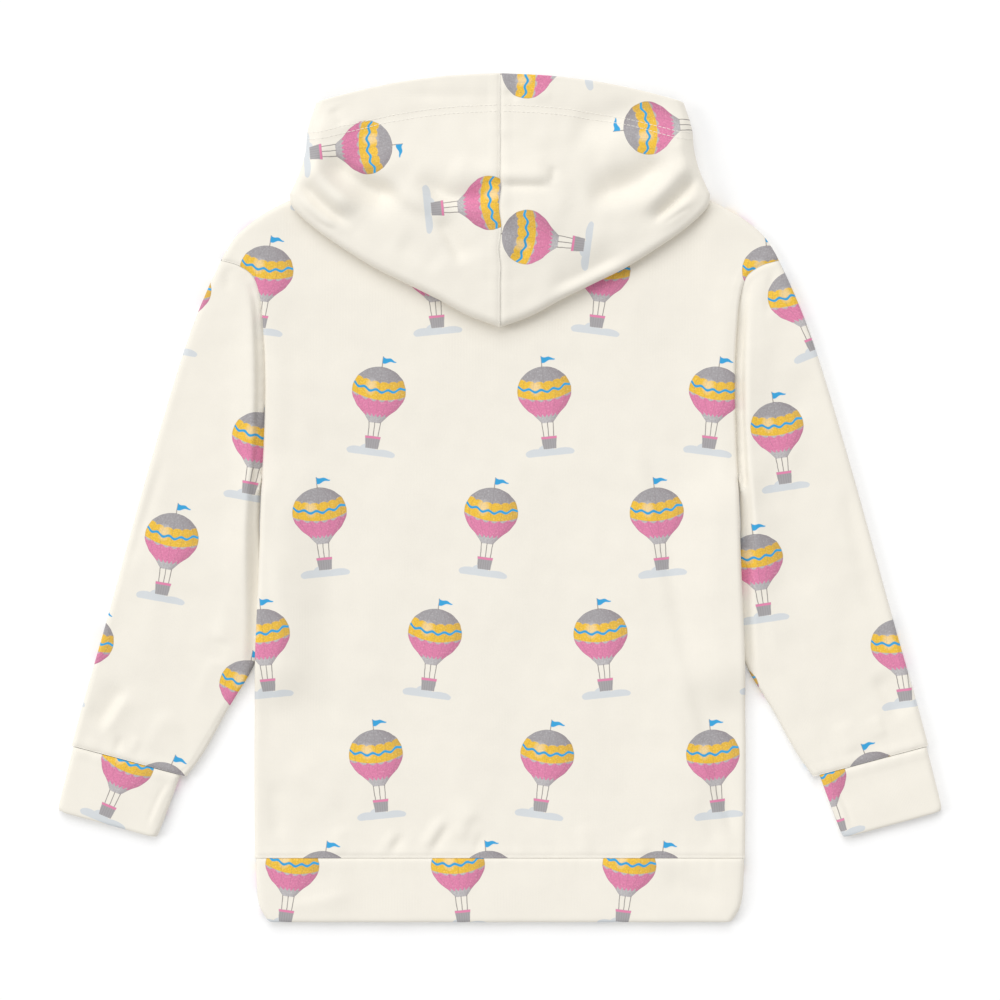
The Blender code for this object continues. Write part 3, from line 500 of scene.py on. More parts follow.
def body_grid(neckline):
    """Points of the front or back: rows from the waistband to the shoulders, columns from left to right."""
    right = np.vstack([spline(SIDE_SEAM, SIDE_SHARES)[:-1], spline(ARMHOLE, ARMHOLE_SHARES)])
    run = run_along(right)
    right_top = np.vstack([spline(SHOULDER_SEAM, SHOULDER_SHARES)[:-1], spline(neckline, NECK_SHARES)])
    top = np.vstack([mirrored(right_top), right_top[-2::-1]])
    half_width = SIDE_SEAM[0][0]
    neck_start = half_width * NECK_START
    shoulder_x = half_width - (half_width - neck_start) * SHOULDER_SHARES
    right_bottom = np.concatenate([shoulder_x[:-1], neck_start * (1 - NECK_SHARES)])
    bottom_x = np.concatenate([-right_bottom, right_bottom[-2::-1]])
    bottom = np.stack([bottom_x, np.full(len(bottom_x), BAND_SEAM_Y)], -1)
    across = (bottom_x + half_width) / (2 * half_width)
    return patch(bottom, top, mirrored(right), right, across, run / run[-1], cling=BODY_CLING)


def body_points(neckline):
    """The fine grid of the front or back, its side and shoulder lines, and its armholes, left and right."""
    coarse = body_grid(neckline)
    points, rows, columns = finer(coarse)
    last = coarse.shape[1] - 1
    sides = [points[rows <= UNDERARM_ROW][:, k] for k in (0, -1)]
    shoulders = [points[-1][columns <= NECK_COLUMN], points[-1][columns >= last - NECK_COLUMN]]
    armholes = [points[rows >= UNDERARM_ROW][:, k] for k in (0, -1)]
    return points, sides + shoulders, armholes


def beside_hood(points):
    """1 on what shows of the back, 0 where the hood lies on it."""
    x, y = np.abs(points[..., 0]), points[..., 1]
    lower_x, lower_y = np.array(HOOD_LOWER_EDGE).T
    below = smooth((np.interp(x, lower_x, lower_y) - y) / 12)
    return np.maximum(below, smooth((x - lower_x[-1]) / 8))


def sunk(share):
    """How far the sleeve's cloth sinks beside the armhole, by the share from shoulder to underarm."""
    return fade(share, SINK)


def back_panel():
    points, fold_lines, armholes = body_points(BACK_NECK)
    edge, from_band = from_lines(points, fold_lines), points[..., 1] - BAND_SEAM_Y
    form = relief(BACK_FOLDS, points) + waves(points, 90, 0.45, 3) + waves(points, 34, 0.12, 4)
    form = form * smooth(edge / 14) * smooth(from_band / 3 + 0.15) * beside_hood(points)
    for number, line in enumerate(armholes):
        distance, share, _ = nearest(points, line)
        beside = sunk(1 - share)
        form += seam_form(distance, share * ARMHOLE_LENGTH, 20 + number) * (1 - beside)
        form -= ARMHOLE_EDGE_DROP * beside * (1 - roundness(distance / ARMHOLE_EDGE_RADIUS))
        form += ARMHOLE_EDGE_RISE * beside * bell((distance - SWELL_PLACE) / SWELL_WIDTH)
    form += seam_form(from_band, points[..., 0], 30) * smooth(edge / 4)
    middle = body_rise(points) + LAID_HALF + SEAM
    return lifted(layer(points, fold_lines, middle, LAID_HALF, 1, CLOTH, BODY_CENTRE), form)


def front_panel():
    points, fold_lines, armholes = body_points(FRONT_NECK)
    from_band = points[..., 1] - BAND_SEAM_Y
    form = relief(FRONT_FOLDS, points) * smooth(from_band / 6)
    for distance in [nearest(points, line)[0] for line in armholes] + [from_band]:
        form += SEAM_GROOVE * bell(distance / SEAM_WIDTH)
    middle = body_rise(points) + LAID_HALF
    return lifted(layer(points, fold_lines, middle, LAID_HALF, -1, CLOTH, BODY_CENTRE), form)


# ---- sleeves, cuffs and waistband
SLEEVE_ROWS = np.concatenate(
    [(0, 0.003, 0.0115, 0.0145, 0.018, 0.03), np.linspace(0.065, 0.985, 14), (0.996, 1)]
)
ACROSS_SLEEVE = 1 - np.array(ARMHOLE_SHARES[::-1])
ACROSS_CUFF = np.array((0, 0.012, 0.035, 0.08, 0.2, 0.35, 0.5, 0.65, 0.8, 0.92, 0.965, 0.988, 1))
CUFF_ROWS = np.array((0, 0.02, 0.08, 0.25, 0.5, 0.75, 0.93, 0.975, 0.993, 1))
ACROSS_BAND = np.concatenate([(0, 0.003, 0.009, 0.02), np.linspace(0.06, 0.94, 15), (0.98, 0.991, 0.997, 1)])
BAND_ROWS = np.array((0, 0.02, 0.06, 0.3, 0.55, 0.75, 0.9, 0.97, 0.99, 0.997, 1))
SLEEVE_CENTRE, CUFF_CENTRE, BAND_CENTRE = (250, -20), (290, -225), (0, BAND_SEAM_Y - BAND_DEPTH / 2)


def sleeve(folds, seed):
    """The right sleeve: rings from the armhole down to the cuff."""
    armhole = spline(ARMHOLE, ARMHOLE_SHARES)[::-1]
    top = armhole + left_of(np.gradient(armhole, axis=0)) * SLEEVE_SEAM
    outer_edge = spline((top[0],) + SLEEVE_OUTER[1:], SLEEVE_ROWS)
    inner_edge = spline((top[-1],) + SLEEVE_INNER_SHOWN[1:], SLEEVE_ROWS)
    cuff_end = spline((SLEEVE_OUTER[-1], SLEEVE_INNER[-1]), ACROSS_SLEEVE)
    points, _, _ = finer(patch(top, cuff_end, outer_edge, inner_edge, ACROSS_SLEEVE, SLEEVE_ROWS))
    fold_lines = [points[:, 0], points[:, -1]]
    from_outer, from_inner = [nearest(points, line)[0] for line in fold_lines]
    edge = np.minimum(from_outer, from_inner)
    from_armhole, share, _ = nearest(points, points[0])
    near_armhole = 1 - smooth(from_armhole / ARMHOLE_EASE)
    seam_rise = body_rise(spline(ARMHOLE[::-1], share))
    side_x = np.interp(points[..., 1], *np.array(SIDE_SEAM + ARMHOLE[1:4]).T[::-1])
    under_body = smooth((UNDERARM[1] + 6 - points[..., 1]) / 50)
    tucked = (1 - smooth((points[..., 0] - side_x - 1) / 9)) * under_body
    height = SLEEVE_HEIGHT - (SLEEVE_HEIGHT - TUCK_HEIGHT) * tucked
    height -= (height - LAID_HEIGHT) * near_armhole * (1 - tucked)
    rise = seam_rise * near_armhole * (1 - tucked)

    form = relief(folds, points) + waves(points, 70, 0.4, seed) + waves(points, 28, 0.12, seed + 1)
    form = form * smooth(edge / 11) * (1 - tucked) * smooth(from_armhole / 3 + 0.1)
    seam = seam_form(from_armhole, share * ARMHOLE_LENGTH, seed + 2, -0.6)
    form += seam * smooth(edge / 4) * (1 - tucked)
    depth = ARMHOLE_TROUGH * sunk(share) * (1 - smooth((from_armhole - TROUGH_FLOOR - share) / TROUGH_WALL))
    form -= depth * (1 - tucked) * smooth(from_outer / 4) * (0.35 + 0.65 * smooth(from_inner / 5))
    from_seam = nearest(points, spline(SLEEVE_SEAM_LINE, np.linspace(0, 1, 40)))[0]
    form -= UNDERARM_GROOVE * bell(from_seam / UNDERARM_GROOVE_WIDTH) * smooth(edge / 2)
    from_cuff, share, _ = nearest(points, points[-1])
    form += seam_form(from_cuff, share * CUFF_SEAM_LENGTH, seed + 3) * smooth(edge / 4)
    cloth = pinched(points, UNDERARM, UNDERARM_PINCH_REACH)
    return tube(points, fold_lines, rise + height / 2, height / 2, cloth, SLEEVE_CENTRE, form)


def cuff(seed):
    """The right cuff: rings from the sleeve's end to the wrist."""
    outer_edge, inner_edge = spline(CUFF_OUTER, CUFF_ROWS), spline(CUFF_INNER, CUFF_ROWS)
    top, wrist = [spline((CUFF_OUTER[k], CUFF_INNER[k]), ACROSS_CUFF) for k in (0, -1)]
    points, _, _ = finer(patch(top, wrist, outer_edge, inner_edge, ACROSS_CUFF, CUFF_ROWS), CUFF_STEP)
    fold_lines, half = [points[:, 0], points[:, -1]], CUFF_HEIGHT / 2
    from_seam, share, _ = nearest(points, points[0])
    from_wrist = nearest(points, points[-1])[0]
    form = waves(points, 40, 0.25, seed) + seam_form(from_seam, share * CUFF_SEAM_LENGTH, seed + 1)
    form += relief(CUFF_FOLDS, points)
    form -= CUFF_DROP * (1 - roundness(from_wrist / CUFF_DROP_WIDTH))
    form *= smooth(from_lines(points, fold_lines) / 4)
    surfaces = tube(points, fold_lines, half, half, CUFF_CLOTH, CUFF_CENTRE, form)
    return rounded(surfaces, ringed(from_wrist), CUFF_RIM)


def waistband():
    """The waistband: rings from its seam to the hem."""
    right = spline(BAND_SIDE, BAND_ROWS)
    top, hem = [spline((mirrored(BAND_SIDE[k]), BAND_SIDE[k]), ACROSS_BAND) for k in (0, -1)]
    points, _, _ = finer(patch(top, hem, mirrored(right), right, ACROSS_BAND, BAND_ROWS), BAND_STEP)
    fold_lines, half = [points[:, 0], points[:, -1]], BAND_HEIGHT / 2
    from_seam, from_hem = BAND_SEAM_Y - points[..., 1], points[..., 1] + HALF_LENGTH
    form = waves(points, 60, 0.35, 50) + seam_form(from_seam, points[..., 0], 51, 0.3)
    form += relief(BAND_FOLDS, points)
    form -= BAND_DROP * (1 - roundness(from_hem / BAND_DROP_WIDTH))
    form *= smooth(from_lines(points, fold_lines) / 4)
    surfaces = tube(points, fold_lines, half, half, BAND_CLOTH, BAND_CENTRE, form)
    return rounded(surfaces, ringed(from_hem), BAND_RIM)


# ---- hood
BACK_OF_HOOD = np.array((0, 0.13, 0.27, 0.41, 0.55, 0.69, 0.81, 0.9, 0.955, 0.98, 0.993, 1))
FRONT_OF_HOOD = np.array((0.03, 0.075, 0.15, 0.22, 0.3, 0.4, 0.5, 0.625, 0.75, 5 / 6, 11 / 12, 1))
TURN_OFFSETS = np.array((-5, -2.4, -0.9, 0, 1, 2.5))  # columns beside the turn, behind it and in front of it
UNDER_ROWS = np.array((0, 0.25, 0.5, 0.75, 0.94, 0.975, 0.993))
SHOWN_ROWS = np.array(
    (0, 0.005, 0.015, 0.032, 0.08, 0.15, 0.23, 0.31, 0.39)
    + (0.46, 0.53, 0.6, 0.68, 0.77, 0.88, 0.97, 0.99, 0.997, 1)
)
FOLD_ROW, TURN_COLUMN = len(UNDER_ROWS), len(BACK_OF_HOOD) - 1


def hood_height(points):
    """Middle of the wall of the hood's shown layer, before it turns down at its folds."""
    x, y = np.abs(points[..., 0]), points[..., 1]
    keys, heights = np.array(HOOD_PROFILE).T
    crown = curve_through(keys, heights, np.gradient(heights, keys), np.clip(y, keys[0], keys[-1]))
    side = HOOD_SIDE_HEIGHT + (crown - HOOD_SIDE_HEIGHT) * HOOD_SIDE_SHARE
    return crown + (side - crown) * smooth(x / HOOD_HALF_WIDTH)


def columns_at(rows, at):
    """The other columns of a table, read along straight lines at positions given in its first column."""
    keys, *columns = np.array(rows).T
    return [np.interp(at, keys, column) for column in columns]


def hood_neck_edge():
    """The right half's edge along the neck seam, from the centre back round to the centre front."""
    start, end = np.array(HOOD_TURN)
    turn = start + TURN_OFFSETS[:, None] * left_of(end - start)
    back = spline(BACK_NECK[::-1], BACK_OF_HOOD[: -np.count_nonzero(TURN_OFFSETS <= 0)])
    fan = np.array(HOOD_NECK_FAN)[:, 1:]
    shares = np.interp(FRONT_OF_HOOD, (0.5, 0.75, 1), (0, 0.4, 1))[len(turn) + len(fan) - 4 :]
    on_neckline = spline(FRONT_NECK, shares)
    tangent = np.gradient(np.vstack([FRONT_NECK[0], on_neckline]), axis=0)[1:]
    return np.vstack([back, turn, fan, on_neckline - left_of(tangent) * NECK_SEAM])


def ruled(near, far, rows):
    """Rows of points at these shares of the way from one line to another."""
    return (1 - rows)[:, None, None] * near + rows[:, None, None] * far


def hood_grid():
    """Coarse points of the right half: rows from neck seam to face opening, columns from back to front."""
    neck, front_neck = np.split(hood_neck_edge(), [len(BACK_OF_HOOD)])
    lower, top = spline(HOOD_LOWER_EDGE, BACK_OF_HOOD), spline(HOOD_TOP_EDGE, BACK_OF_HOOD)
    centre_line = spline((HOOD_LOWER_EDGE[0], HOOD_TOP_EDGE[0]), SHOWN_ROWS)
    side_line = spline(HOOD_SIDE_FOLD, SHOWN_ROWS)
    shown = patch(lower, top, centre_line, side_line, BACK_OF_HOOD, SHOWN_ROWS)
    turn_x, turn_y, edge_share = columns_at(HOOD_FRONT_FAN, FRONT_OF_HOOD)
    turning, edge = np.stack([turn_x, turn_y], -1), spline(HOOD_FRONT_EDGE, edge_share)
    side_bow = side_line - spline((HOOD_SIDE_FOLD[0], HOOD_SIDE_FOLD[-1]), SHOWN_ROWS)
    bow_fade = 1 - smooth(FRONT_OF_HOOD / 0.3)
    front = ruled(turning, edge, SHOWN_ROWS) + side_bow[:, None] * bow_fade[None, :, None]
    under, near = ruled(neck, lower, UNDER_ROWS), ruled(front_neck, turning, UNDER_ROWS)
    return np.concatenate([np.vstack([under, shown]), np.vstack([near, front])], axis=1)


def pinched(points, corner, reach):
    """Thickness of the cloth, which is pressed thinner close to a corner where its folds meet."""
    distance = np.linalg.norm(points[..., :2] - corner, axis=-1)
    return CLOTH * (1 - PINCH * bell(distance / reach))


def rounding(points, line, heights):
    """Height of a round fold's middle nearest each point, and how far the cloth has opened from it."""
    distance, share, _ = nearest(points, line)
    middle, radius = columns_at(heights, share)
    return middle, roundness(distance / radius)


def hood(folds, seed, sway):
    """Both surfaces of the right half, each point's distance from the face opening, and where it folds."""
    points, rows, columns = finer(hood_grid(), BAND_STEP)
    fold_row = np.flatnonzero(rows == FOLD_ROW)[0]
    turn_column = np.flatnonzero(columns == TURN_COLUMN)[0]
    row, column = np.arange(points.shape[0])[:, None], np.arange(points.shape[1])[None]
    on_front = column > turn_column
    shown = (row >= fold_row) & ~on_front
    lower, side = points[fold_row, : turn_column + 1], points[fold_row + 1 :, turn_column]
    fold_line, turn_line = np.vstack([lower, side]), np.vstack([points[: fold_row + 1, turn_column], side])

    fold_middle, fold_open = rounding(points, fold_line, HOOD_FOLD)
    turn_middle, turn_open = rounding(points, turn_line, HOOD_DROP)
    under_z = UNDER_LAYER + (fold_middle - UNDER_LAYER) * (1 - fold_open)
    under_z += (turn_middle - UNDER_LAYER) * (1 - turn_open) * fold_open

    shown_edge, front_edge = points[-1, : turn_column + 1], points[-1, turn_column:]
    from_edge = np.where(on_front, nearest(points, front_edge)[0], nearest(points, shown_edge)[0])
    from_fold = nearest(points, fold_line)[0]
    form = relief(folds, points) + waves(points, 60, 0.35, seed) + waves(points, 24, 0.15, seed + 1)
    form = form * smooth(from_fold / 12 + 0.05)
    form -= HEM_GROOVE * bell((from_edge - HEM_DEPTH + NEEDLE_GAP / 2) / HEM_GROOVE_WIDTH)
    form += seam_form(points[..., 0], points[..., 1], 70) * smooth(from_fold / 3)
    height = np.maximum(hood_height(points) + form, LOWEST_SHOWN)
    shown_z = fold_middle + (height - fold_middle) * fold_open
    front_z = turn_middle - (turn_middle - FRONT_LAYER) * turn_open
    z = np.where(on_front, front_z, np.where(row < fold_row, under_z, shown_z))
    middle = np.concatenate([points, z[..., None]], -1)
    middle[:, (0, -1), 0] = SEAM / 2
    y = middle[..., 1]
    stray = np.sin(y / SWAY_LENGTH) * fade(y, SWAY_TOP) * fade(y, SWAY_FOOT)
    middle[..., 0] += sway * stray * np.exp(-middle[..., 0] / SWAY_REACH) * shown

    in_hem = (1 - smooth((from_edge - HEM_DEPTH) / 3)) * smooth(from_fold / 6)
    cloth = pinched(middle, HOOD_TURN[1], HOOD_PINCH_REACH) + HEM_CLOTH * in_hem * shown
    down, across = np.gradient(middle, axis=0), np.gradient(middle, axis=1)
    normal = np.cross(across, down)
    normal[:, (0, -1), 0] = 0
    surfaces = [middle + side * unit(normal) * cloth[..., None] / 2 for side in (1, -1)]
    surfaces = rounded(surfaces, np.where(row > fold_row, from_edge, np.inf), HOOD_RIM)
    return surfaces, from_edge, fold_row, turn_column


# ---- meshes
def placed(name, data):
    """An object in the scene."""
    thing = bpy.data.objects.new(name, data)
    bpy.context.scene.collection.objects.link(thing)
    return thing


def add_mesh(name, points, faces, *materials):
    """A smooth mesh of points in millimetres."""
    mesh = bpy.data.meshes.new(name)
    mesh.from_pydata((points * METRES).tolist(), [], faces)
    mesh.shade_smooth()
    for material in materials:
        mesh.materials.append(material)
    return placed(name, mesh)


def wall_faces(rows, columns, closed):
    """Quads of the outer and inner grids and of the rims that join them, as an array of four corners each."""
    index = np.arange(rows * columns).reshape(rows, columns)
    if closed:
        index = np.concatenate([index, index[:, :1]], axis=1)
        rims = [index[0], index[-1][::-1]]
    else:
        rims = [np.concatenate([index[0], index[1:, -1], index[-1, -2::-1], index[-2::-1, 0]])]
    quads = np.stack([index[:-1, :-1], index[:-1, 1:], index[1:, 1:], index[1:, :-1]], -1).reshape(-1, 4)
    count = rows * columns
    rim = np.concatenate([np.stack([a[:-1], a[1:], a[1:] + count, a[:-1] + count], -1) for a in rims])
    return quads, quads[:, ::-1] + count, rim


def add_cloth(name, surfaces, layouts, mirror=False, closed=False):
    """A piece of cloth: its mesh, its place in the printed cloth, and its two finishes.

    layouts gives the printed cloth's coordinates of every point in two ways, and which faces take the first.
    """
    outer, inner = [mirrored(surface) if mirror else surface for surface in surfaces]
    parts = wall_faces(*outer.shape[:2], closed)
    quads, inside, rim = [part[:, ::-1] if mirror else part for part in parts]
    faces = np.concatenate([quads, inside, rim])
    points = np.vstack([outer.reshape(-1, 3), inner.reshape(-1, 3)])
    piece = add_mesh(name, points, faces.tolist(), printed, lining)
    first, second, pick = layouts
    pick = pick[:, : len(quads) // (len(outer) - 1)].reshape(-1)
    pick = np.concatenate([pick, pick, np.ones(len(rim), bool)])
    first, second = [np.vstack([layout.reshape(-1, 2)] * 2) for layout in (first, second)]
    place = np.where(pick[:, None, None], first[faces], second[faces]) * METRES
    piece.data.uv_layers.new(name="cloth").data.foreach_set("uv", place.reshape(-1))
    finish = np.repeat((0, 1, 0), (len(quads), len(inside), len(rim)))
    piece.data.polygons.foreach_set("material_index", finish)
    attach(piece, "root")
    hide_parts(name.removesuffix("_cloth"))


def turned(points, angle):
    """Points in axes turned by an angle, in degrees."""
    c, s = np.cos(np.radians(angle)), np.sin(np.radians(angle))
    return np.stack([points[..., 0] * c + points[..., 1] * s, points[..., 1] * c - points[..., 0] * s], -1)


def reflected(points, start, end):
    """Points as they lie after the cloth is turned over about a line."""
    start, end = np.asarray(start, float), np.asarray(end, float)
    along, off = unit(end - start), points - start
    return start + 2 * (off @ along)[..., None] * along - off


# ---- shaders
class Value:
    """A number in a shader, so that its nodes are written as sums."""

    def __init__(self, tree, socket):
        self.tree, self.socket = tree, socket

    def use(self, operation, *others, clamp=False):
        node = self.tree.nodes.new("ShaderNodeMath")
        node.operation, node.use_clamp = operation, clamp
        for slot, value in zip(node.inputs, (self, *others)):
            connect(self.tree, value, slot)
        return Value(self.tree, node.outputs[0])

    __add__, __sub__ = partialmethod(use, "ADD"), partialmethod(use, "SUBTRACT")
    __mul__, __truediv__ = partialmethod(use, "MULTIPLY"), partialmethod(use, "DIVIDE")
    low, high = partialmethod(use, "MINIMUM"), partialmethod(use, "MAXIMUM")
    abs = partialmethod(use, "ABSOLUTE")

    def __rsub__(self, other):
        return self * -1 + other

    def below(self, edge, soft=0.5):
        """1 where the number is below the edge, 0 above it, with a soft change between."""
        if isinstance(edge, Value):
            return (edge - self).use("MULTIPLY_ADD", 1 / soft, 0.5, clamp=True)
        return self.use("MULTIPLY_ADD", -1 / soft, edge / soft + 0.5, clamp=True)

    def within(self, low, high, soft=0.5):
        return self.below(high, soft) * (1 - self.below(low, soft))

    def curve(self, low, high, top, points):
        """A smooth curve through points, read between low and high."""
        node = self.tree.nodes.new("ShaderNodeFloatCurve")
        line = node.mapping.curves[0]
        while len(line.points) < len(points):
            line.points.new(0.5, 0.5)
        for handle, (x, y) in zip(line.points, points):
            handle.location = ((x - low) / (high - low), y / top)
        node.mapping.update()
        connect(self.tree, (self - low) * (1 / (high - low)), node.inputs["Value"])
        return Value(self.tree, node.outputs[0]) * top


def connect(tree, source, slot):
    """Feed a shader's slot from a Value, a socket or a constant."""
    if isinstance(source, Value):
        source = source.socket
    if isinstance(source, bpy.types.NodeSocket):
        tree.links.new(source, slot)
    else:
        slot.default_value = source


def set_inputs(node, values):
    for name, value in values.items():
        node.inputs[name].default_value = value


def new_material(name, values):
    """A material with these values on its shader, and the shader."""
    material = bpy.data.materials.new(name)
    material.use_nodes = True
    shader = material.node_tree.nodes["Principled BSDF"]
    set_inputs(shader, values)
    return material, shader


def srgb(red, green, blue):
    """A colour for a shader from its screen values."""
    c = np.array((red, green, blue)) / 255
    linear = np.where(c <= 0.04045, c / 12.92, ((c + 0.055) / 1.055) ** 2.4)
    return (*linear.tolist(), 1)


def lay(tree, ground, mask, colour):
    """A colour laid over another through a mask."""
    mix = tree.nodes.new("ShaderNodeMix")
    mix.data_type = "RGBA"
    connect(tree, mask, mix.inputs["Factor"])
    connect(tree, ground, mix.inputs[6])
    connect(tree, colour, mix.inputs[7])
    return mix.outputs[2]


def noise(tree, vector, scale, detail=2):
    """Smooth noise from -1 to 1."""
    node = tree.nodes.new("ShaderNodeTexNoise")
    node.noise_dimensions = "3D"
    set_inputs(node, {"Scale": scale, "Detail": detail})
    tree.links.new(vector, node.inputs["Vector"])
    return Value(tree, node.outputs["Fac"]) * 2 - 1


def scaled(tree, vector, factor):
    """A vector or a colour times a number."""
    node = tree.nodes.new("ShaderNodeVectorMath")
    node.operation = "SCALE"
    connect(tree, vector, node.inputs[0])
    connect(tree, factor, node.inputs["Scale"])
    return node.outputs[0]


# ---- printed cloth
CREAM, WHITE = (0.87, 0.829, 0.742, 1), (1, 1, 1, 1)
GREY, PALE_GREY, CLOUD = srgb(168, 165, 167), srgb(192, 189, 190), srgb(203, 211, 219)
YELLOW, PINK, BLUE, ROPE = srgb(243, 196, 66), srgb(226, 134, 172), srgb(62, 164, 218), srgb(120, 112, 112)
SHADE = srgb(112, 92, 100)
REPEAT_X, REPEAT_Y = 128, 92  # spacing of the balloons along a row, and of the rows
ENVELOPE_FOOT, ENVELOPE_TOP, ENVELOPE_WIDEST = -14, 29, 22
ENVELOPE = ((-14, 4.5), (-8, 9.5), (0, 17), (9, 20.5), (18, 18.6), (24, 13.6), (27.5, 7.5), (29, 0))
CLOUD_FOOT = -39.4
CLOUD_PUFFS = ((-11.5, -37, 7.5, 3.6), (-3, -36, 6.5, 5.2), (9.5, -37.4, 9, 3.4))  # centre and radii
WALE, COURSE = 1.15, 0.95  # width and height of a knitted stitch
KNIT_DEPTH, BRUSHED_DEPTH = 0.00005, 0.00025  # in metres, as shaders take them
FLEECE = {"Roughness": 0.92, "Specular IOR Level": 0.18, "Sheen Weight": 0.12, "Sheen Roughness": 0.45}


def balloon_print(tree, place, u, v, wobble, ground):
    """Hot-air balloons in slanting rows, painted over the ground. u and v are millimetres in the cloth."""
    row = (v / REPEAT_Y).use("ROUND")
    shift = (row / 3).use("FRACT") * REPEAT_X
    column = ((u - shift) / REPEAT_X).use("ROUND")
    x, y = u - shift - column * REPEAT_X, v - row * REPEAT_Y
    tilt = ((row + column) * 0.5).use("FRACT").abs() * 0.46 - 0.13
    x, y = x + y * tilt + wobble * 0.35, y - x * tilt + wobble * 0.25

    side = x.abs()
    width = y.curve(ENVELOPE_FOOT, ENVELOPE_TOP, ENVELOPE_WIDEST, ENVELOPE)
    share = x / width.high(0.5)
    envelope = side.below(width, 0.6) * y.within(ENVELOPE_FOOT - 0.2, ENVELOPE_TOP + 0.2, 0.6)
    level = y - x * x * 0.011
    scallop = (share * 9).use("SINE").abs() * 2.2
    gores = ((share * 2.5 + 0.5).use("FRACT") - 0.5).abs()
    grain = noise(tree, place, 0.75, 5)
    gleam = ((x + 6.5) * (x + 6.5) + (y - 13) * (y - 13) * 0.5).below(14, 26)
    ribbon = (level - 10.2 + (share * 14).use("SINE") * 0.9).abs()
    balloon = (
        (envelope, PALE_GREY),
        (envelope * (level + scallop).within(-7.5, 4), PINK),
        (envelope * level.within(3.4, 17.4), YELLOW),
        (envelope * (level - scallop * 0.7).within(16.2, 31), GREY),
        (envelope * gores.below(0.035, 0.03) * 0.22, ROPE),
        (envelope * (share * 0.7 + 0.3).high(0).use("POWER", 2.2) * 0.3, SHADE),
        (envelope * (side - width).abs().below(0.5, 0.8) * 0.25, ROPE),
        (envelope * (grain + 0.1).high(0) * 0.45, SHADE),
        (envelope * (-0.15 - grain).high(0) * 0.6, WHITE),
        (gleam * 0.28, WHITE),
        (envelope * ribbon.below(1), BLUE),
    )

    pole = x.abs().below(0.35) * y.within(28.5, 37)
    flag_y = (y - 34.2 + (x * 0.8).use("SINE") * 0.5).abs()
    flag = flag_y.below(2.6 - x * 0.22) * x.within(0, 10.5)
    ropes = (side - 4.4 - (y + 14) * 0.06).abs().low(side).below(0.32, 0.35) * y.within(-25, -13.8)
    basket = (side - (y + 29.5) * 0.12).below(5.4) * y.within(-34.2, -24.6)
    weave = ((x * 0.55).use("FRACT") - 0.5).abs().below(0.12, 0.1)
    puffs = [((x - cx) / a, (y - cy) / b) for cx, cy, a, b in CLOUD_PUFFS]
    first, second, third = [across * across + up * up for across, up in puffs]
    cloud = first.low(second).low(third).below(1, 0.12) * (y.below(CLOUD_FOOT) - 1).abs()
    fittings = (
        (pole * 0.8, ROPE),
        (flag, BLUE),
        (ropes * 0.85, ROPE),
        (basket, GREY),
        (basket * (y + 25.6).abs().below(0.9), PINK),
        (basket * y.below(-26.8) * weave * 0.3, ROPE),
        (cloud * 0.75 * (1 - basket), CLOUD),
    )
    for mask, colour in balloon + fittings:
        ground = lay(tree, ground, mask, colour)
    return ground


def fleece(name, face):
    """Sweatshirt cloth: its knitted and printed face, or the brushed side that lies against the skin."""
    material, shader = new_material(name, FLEECE)
    tree = material.node_tree
    coordinates = tree.nodes.new("ShaderNodeUVMap")
    coordinates.uv_map = "cloth"
    place = scaled(tree, coordinates.outputs["UV"], 1 / METRES)
    split = tree.nodes.new("ShaderNodeSeparateXYZ")
    tree.links.new(place, split.inputs[0])
    u, v = [Value(tree, split.outputs[axis]) for axis in "XY"]
    ground = tree.nodes.new("ShaderNodeRGB")
    ground.outputs[0].default_value = CREAM
    colour = ground.outputs[0]
    shade = noise(tree, place, 0.02) * 0.012
    if face:
        colour = balloon_print(tree, place, u, v, noise(tree, place, 0.22, 3), colour)
        shade = shade + noise(tree, place, 0.09, 4) * 0.02 + 1 + noise(tree, place, 1.6) * 0.012
        wale, course = u / WALE, v / COURSE  # V-shaped stitches in upright columns
        vee = ((wale.use("FRACT") - 0.5).abs() * 1.3 + course) * (2 * np.pi)
        column = (wale * (2 * np.pi)).use("COSINE")
        height = vee.use("SINE") * 0.35 + column * 0.5 + noise(tree, place, 0.9, 3) * 0.8
        depth = KNIT_DEPTH
    else:
        shade = shade + noise(tree, place, 0.6, 4) * 0.02 + 1
        height = noise(tree, place, 1.1, 5)
        depth = BRUSHED_DEPTH
    tree.links.new(scaled(tree, colour, shade), shader.inputs["Base Color"])
    bump = tree.nodes.new("ShaderNodeBump")
    set_inputs(bump, {"Strength": 0.5, "Distance": depth})
    connect(tree, height, bump.inputs["Height"])
    tree.links.new(bump.outputs["Normal"], shader.inputs["Normal"])
    return material


printed, lining = fleece("printed_fleece_face", True), fleece("printed_fleece_inside", False)


# ---- the garment
def upper_faces(points):
    """True for the faces of a tube's upper layer."""
    pick = np.ones((points.shape[0] - 1, points.shape[1]), bool)
    pick[:, points.shape[1] // 2 :] = False
    return pick


def flat_layout(surfaces, move, flip=False):
    """The cloth as it lies, seen from its outer side."""
    points = surfaces[0][..., :2]
    place = (mirrored(points) if flip else points) + move
    return place, place, np.ones((points.shape[0] - 1, points.shape[1]), bool)


def band_layout(surfaces, upper_move, lower_move):
    """Both layers as they lie, each seen from its outer side."""
    points = surfaces[0][..., :2]
    return points + upper_move, mirrored(points) + lower_move, upper_faces(points)


def tube_layout(surfaces, move, turn, line, mirror):
    """The upper layer as it lies, and the lower layer turned over about the tube's outer edge."""
    points = surfaces[0][..., :2]
    layers = [mirrored(p) if mirror else p for p in (points, reflected(points, *line))]
    return [turned(p, -turn if mirror else turn) + move for p in layers] + [upper_faces(points)]


